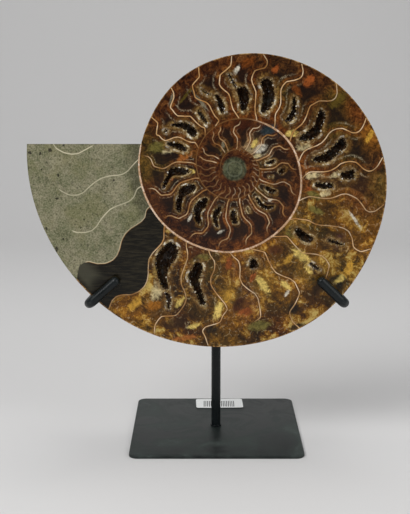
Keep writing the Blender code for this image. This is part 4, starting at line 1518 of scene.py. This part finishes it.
# %% Bars
ROD = 3.5
RING_SIDES = 28
CAP_STEPS, CAP_CLEARANCE = 6, 0.3
STAND_SHARP = 50.0


def cap(point, inward, easing):
    """Stations of a rounded end, from its tip inward: a place and a radius."""
    turns = [math.radians(90.0 * (1.0 - k / CAP_STEPS)) for k in range(CAP_STEPS + 1)]
    return [(point + inward * (easing * (1.0 - math.sin(a))), ROD - easing * (1.0 - math.cos(a)))
            for a in turns]


def bar(name, route, node, start_easing, end_easing):
    """A round bar along a route, its ends rounded off by so many mm."""
    route = [Vector(place) for place in route]
    start, end = route[0], route[-1]
    stations = cap(start, (route[1] - start).normalized(), start_easing)
    stations += [(p, ROD) for p in route if (p - start).length > start_easing + CAP_CLEARANCE
                 and (p - end).length > end_easing + CAP_CLEARANCE]
    stations += cap(end, (route[-2] - end).normalized(), end_easing)[::-1]
    places = [place for place, _ in stations]
    ahead = places[1:] + places[-1:]
    bm = bmesh.new()
    rings, side = [], None
    for (place, width), before, after in zip(stations, places[:1] + places, ahead):
        axis = (after - before).normalized()
        side = side - axis * side.dot(axis) if side else axis.orthogonal()
        side = side.normalized()
        rings.append(ring_of(bm, circle(place, side, axis.cross(side), width, RING_SIDES)))
    skin(bm, rings)
    bm.faces.new(rings[0][::-1])
    bm.faces.new(rings[-1])
    build_piece(name, bm, rod_paint, node, STAND_SHARP)


print("a bar has", RING_SIDES, "sides")

# %% [markdown]
# The post is straight. An arm leaves its top, follows the domed back outward
# and down, bends round the rim and ends as a claw on the face. A smooth curve
# through a few places gives the route, because bent rod has no corners.

# %% Post and arms
PLATE_TOP, POST_TOP, HUB_HEIGHT = 2.0, 172.0, 167.5
ARM_TOP, CLAW_Y, BEND = 170.0, -42.5, 5.0
GAP = 0.3
ROUTE_DETAIL = 6
POST_STATIONS = 12
# The arm's elbow at the post: how far out, toward the face and up
ELBOW = ((0.0, 0.0, 0.0), (4.0, 0.0, -0.6), (8.5, -0.2, -4.2))
# Places of an arm behind the fossil: how far out, and how far toward the face
BEHIND = ((22.0, -1.0), (40.0, -2.1), (58.0, -4.4), (74.0, -8.0), (88.0, -13.6))
BEFORE_BEND = ((11.5, -20.0), (3.6, -28.0))
# Side, slope of the arm, its reach, slope of the claw and its length
ARMS = {"left": (-1.0, 34.8, 109.6, 41.4, 27.8), "right": (1.0, 34.6, 109.5, 44.1, 26.2)}


def arm_route(side, slope, bend_reach, claw_slope, claw_length):
    """The route of one arm, from the post round the rim to the claw's tip."""
    run, fold = math.radians(slope), math.radians(claw_slope)

    def spot(reach, y):
        return (side * reach * math.cos(run), y, ARM_TOP - reach * math.sin(run))

    def claw(inward, y):
        x, _, z = spot(bend_reach, y)
        return (x - side * inward * math.cos(fold), y, z + inward * math.sin(fold))

    route = [(side * (ROD + GAP + out), y, HUB_HEIGHT + up) for out, y, up in ELBOW]
    route += [spot(reach, y) for reach, y in BEHIND]
    route += [spot(bend_reach - before, y) for before, y in BEFORE_BEND]
    for angle in np.radians((0.0, 22.5, 45.0, 67.5, 90.0)):
        route.append(claw(BEND * (1.0 - math.cos(angle)), CLAW_Y + BEND * (1.0 - math.sin(angle))))
    return route + [claw(0.5 * (BEND + claw_length), CLAW_Y), claw(claw_length, CLAW_Y)]


def smooth_route(knots):
    knots = [np.array(knot) for knot in knots]
    line = [2.0 * knots[0] - knots[1]] + knots + [2.0 * knots[-1] - knots[-2]]
    return [smooth_between(*line[index:index + 4], step / ROUTE_DETAIL)
            for index in range(len(knots) - 1) for step in range(ROUTE_DETAIL)] + [knots[-1]]


post_route = [(0.0, 0.0, z) for z in np.linspace(PLATE_TOP + GAP, POST_TOP, POST_STATIONS)]
bar("stand_post", post_route, "post", 0.1, 0.8)
for side, sizes in ARMS.items():
    bar(side + "_claw_arm", smooth_route(arm_route(*sizes)), side + "_arm", 0.3, 2.9)
print("post and", len(ARMS), "arms")

# %% [markdown]
# ## Weld beads
# The welds are uneven rings of melted steel, one at the post's foot and one
# where each arm meets the post. Each is a ring whose thickness changes a
# little as it goes round.

# %% Welds
WELD_STEPS, WELD_SIDES, WELD_THICKNESS = 36, 10, 0.6
WELD_LUMPS, LUMP_SIZE, LUMP_CHANCE = 9.0, 0.18, 0.06
UP, ACROSS_POST = Vector((0.0, 0.0, 1.0)), Vector((1.0, 0.0, 0.0))


def weld_bead(name, centre, axis, radius, seed):
    """A lumpy ring round a joint."""
    dice = random.Random(seed)
    side = axis.orthogonal().normalized()
    bm = bmesh.new()
    rings = []
    outs = circle(Vector(), side, axis.cross(side), 1.0, WELD_STEPS)
    for step, out in enumerate(outs):
        lump = LUMP_SIZE * math.sin(WELD_LUMPS * 2.0 * math.pi * step / WELD_STEPS)
        wide = WELD_THICKNESS * (1.0 + lump + dice.uniform(-LUMP_CHANCE, LUMP_CHANCE))
        spots = circle(Vector(centre) + out * radius, out, axis, wide, WELD_SIDES)
        rings.append(ring_of(bm, spots))
    skin(bm, rings + rings[:1])
    build_piece(name, bm, rod_paint)


weld_bead("foot_weld", (0.0, 0.0, PLATE_TOP + 0.5), UP, ROD + 0.2, 3)
weld_bead("left_hub_weld", (-ROD - 0.2, 0.0, HUB_HEIGHT), ACROSS_POST, ROD - 0.1, 4)
weld_bead("right_hub_weld", (ROD + 0.2, 0.0, HUB_HEIGHT), ACROSS_POST, ROD - 0.1, 5)
print("three welds")

# %% [markdown]
# ## Base plate
# The plate is 2 mm sheet, cut square with rounded corners. Its edges have a
# tiny round that catches the light.

# %% Plate
PLATE_SIDE, PLATE_CORNER, PLATE_ROUND, ROUND_MIDDLE = 125.0, 6.5, 0.35, 0.1
CORNER_STEPS = 10


def rounded_square(inset, height):
    reach, corner = 0.5 * PLATE_SIDE - PLATE_CORNER, PLATE_CORNER - inset
    ring = []
    for x, y, first in ((1, 1, 0), (-1, 1, 90), (-1, -1, 180), (1, -1, 270)):
        for step in range(CORNER_STEPS + 1):
            angle = math.radians(first + 90.0 * step / CORNER_STEPS)
            ring.append(Vector((x * reach + corner * math.cos(angle),
                                y * reach + corner * math.sin(angle), height)))
    return ring


bm = bmesh.new()
edge_profile = ((PLATE_ROUND, 0.0), (ROUND_MIDDLE, ROUND_MIDDLE), (0.0, PLATE_ROUND))
rings = [ring_of(bm, rounded_square(inset, height)) for inset, height in edge_profile]
rings += [ring_of(bm, rounded_square(inset, PLATE_TOP - height))
          for inset, height in reversed(edge_profile)]
skin(bm, rings)
bm.faces.new(rings[0][::-1])
bm.faces.new(rings[-1])
build_piece("stand_plate", bm, plate_paint, "base_plate", STAND_SHARP)
print("plate", PLATE_SIDE, "mm square")

# %% [markdown]
# ## Label
# A small paper label lies behind the post. Its print is left generic: a row
# of plain, evenly spaced bars without any lettering.

# %% Label
LABEL_X, LABEL_Y = 3.3, 49.2
BAR_PITCH, BAR_SHARE = 1.4, 0.45
BARS_HALF_WIDTH, BARS_FRONT, BARS_BACK = 12.6, -8.2, 5.5


def label_paper():
    """White paper with one row of even bars that say nothing."""
    paper = Finish("label_paper", roughness=0.55, specular=0.3)
    colour = paper.mix(paper.noise(900), (226, 228, 226), (246, 247, 245))
    across, along = paper.axis("X") - LABEL_X * MM, paper.axis("Y") - LABEL_Y * MM
    bars = paper.math("WRAP", across, BAR_PITCH * MM)
    ink = paper.math("LESS_THAN", bars, BAR_PITCH * BAR_SHARE * MM)
    ink *= paper.math("LESS_THAN", paper.math("ABSOLUTE", across), BARS_HALF_WIDTH * MM)
    ink *= paper.math("GREATER_THAN", along, BARS_FRONT * MM)
    ink *= paper.math("LESS_THAN", along, BARS_BACK * MM)
    paper.set("Base Color", paper.mix(ink, colour, (38, 40, 42)))
    return paper.material


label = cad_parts["label"]
label.data.materials.clear()
label.data.materials.append(label_paper())
print("label finished")
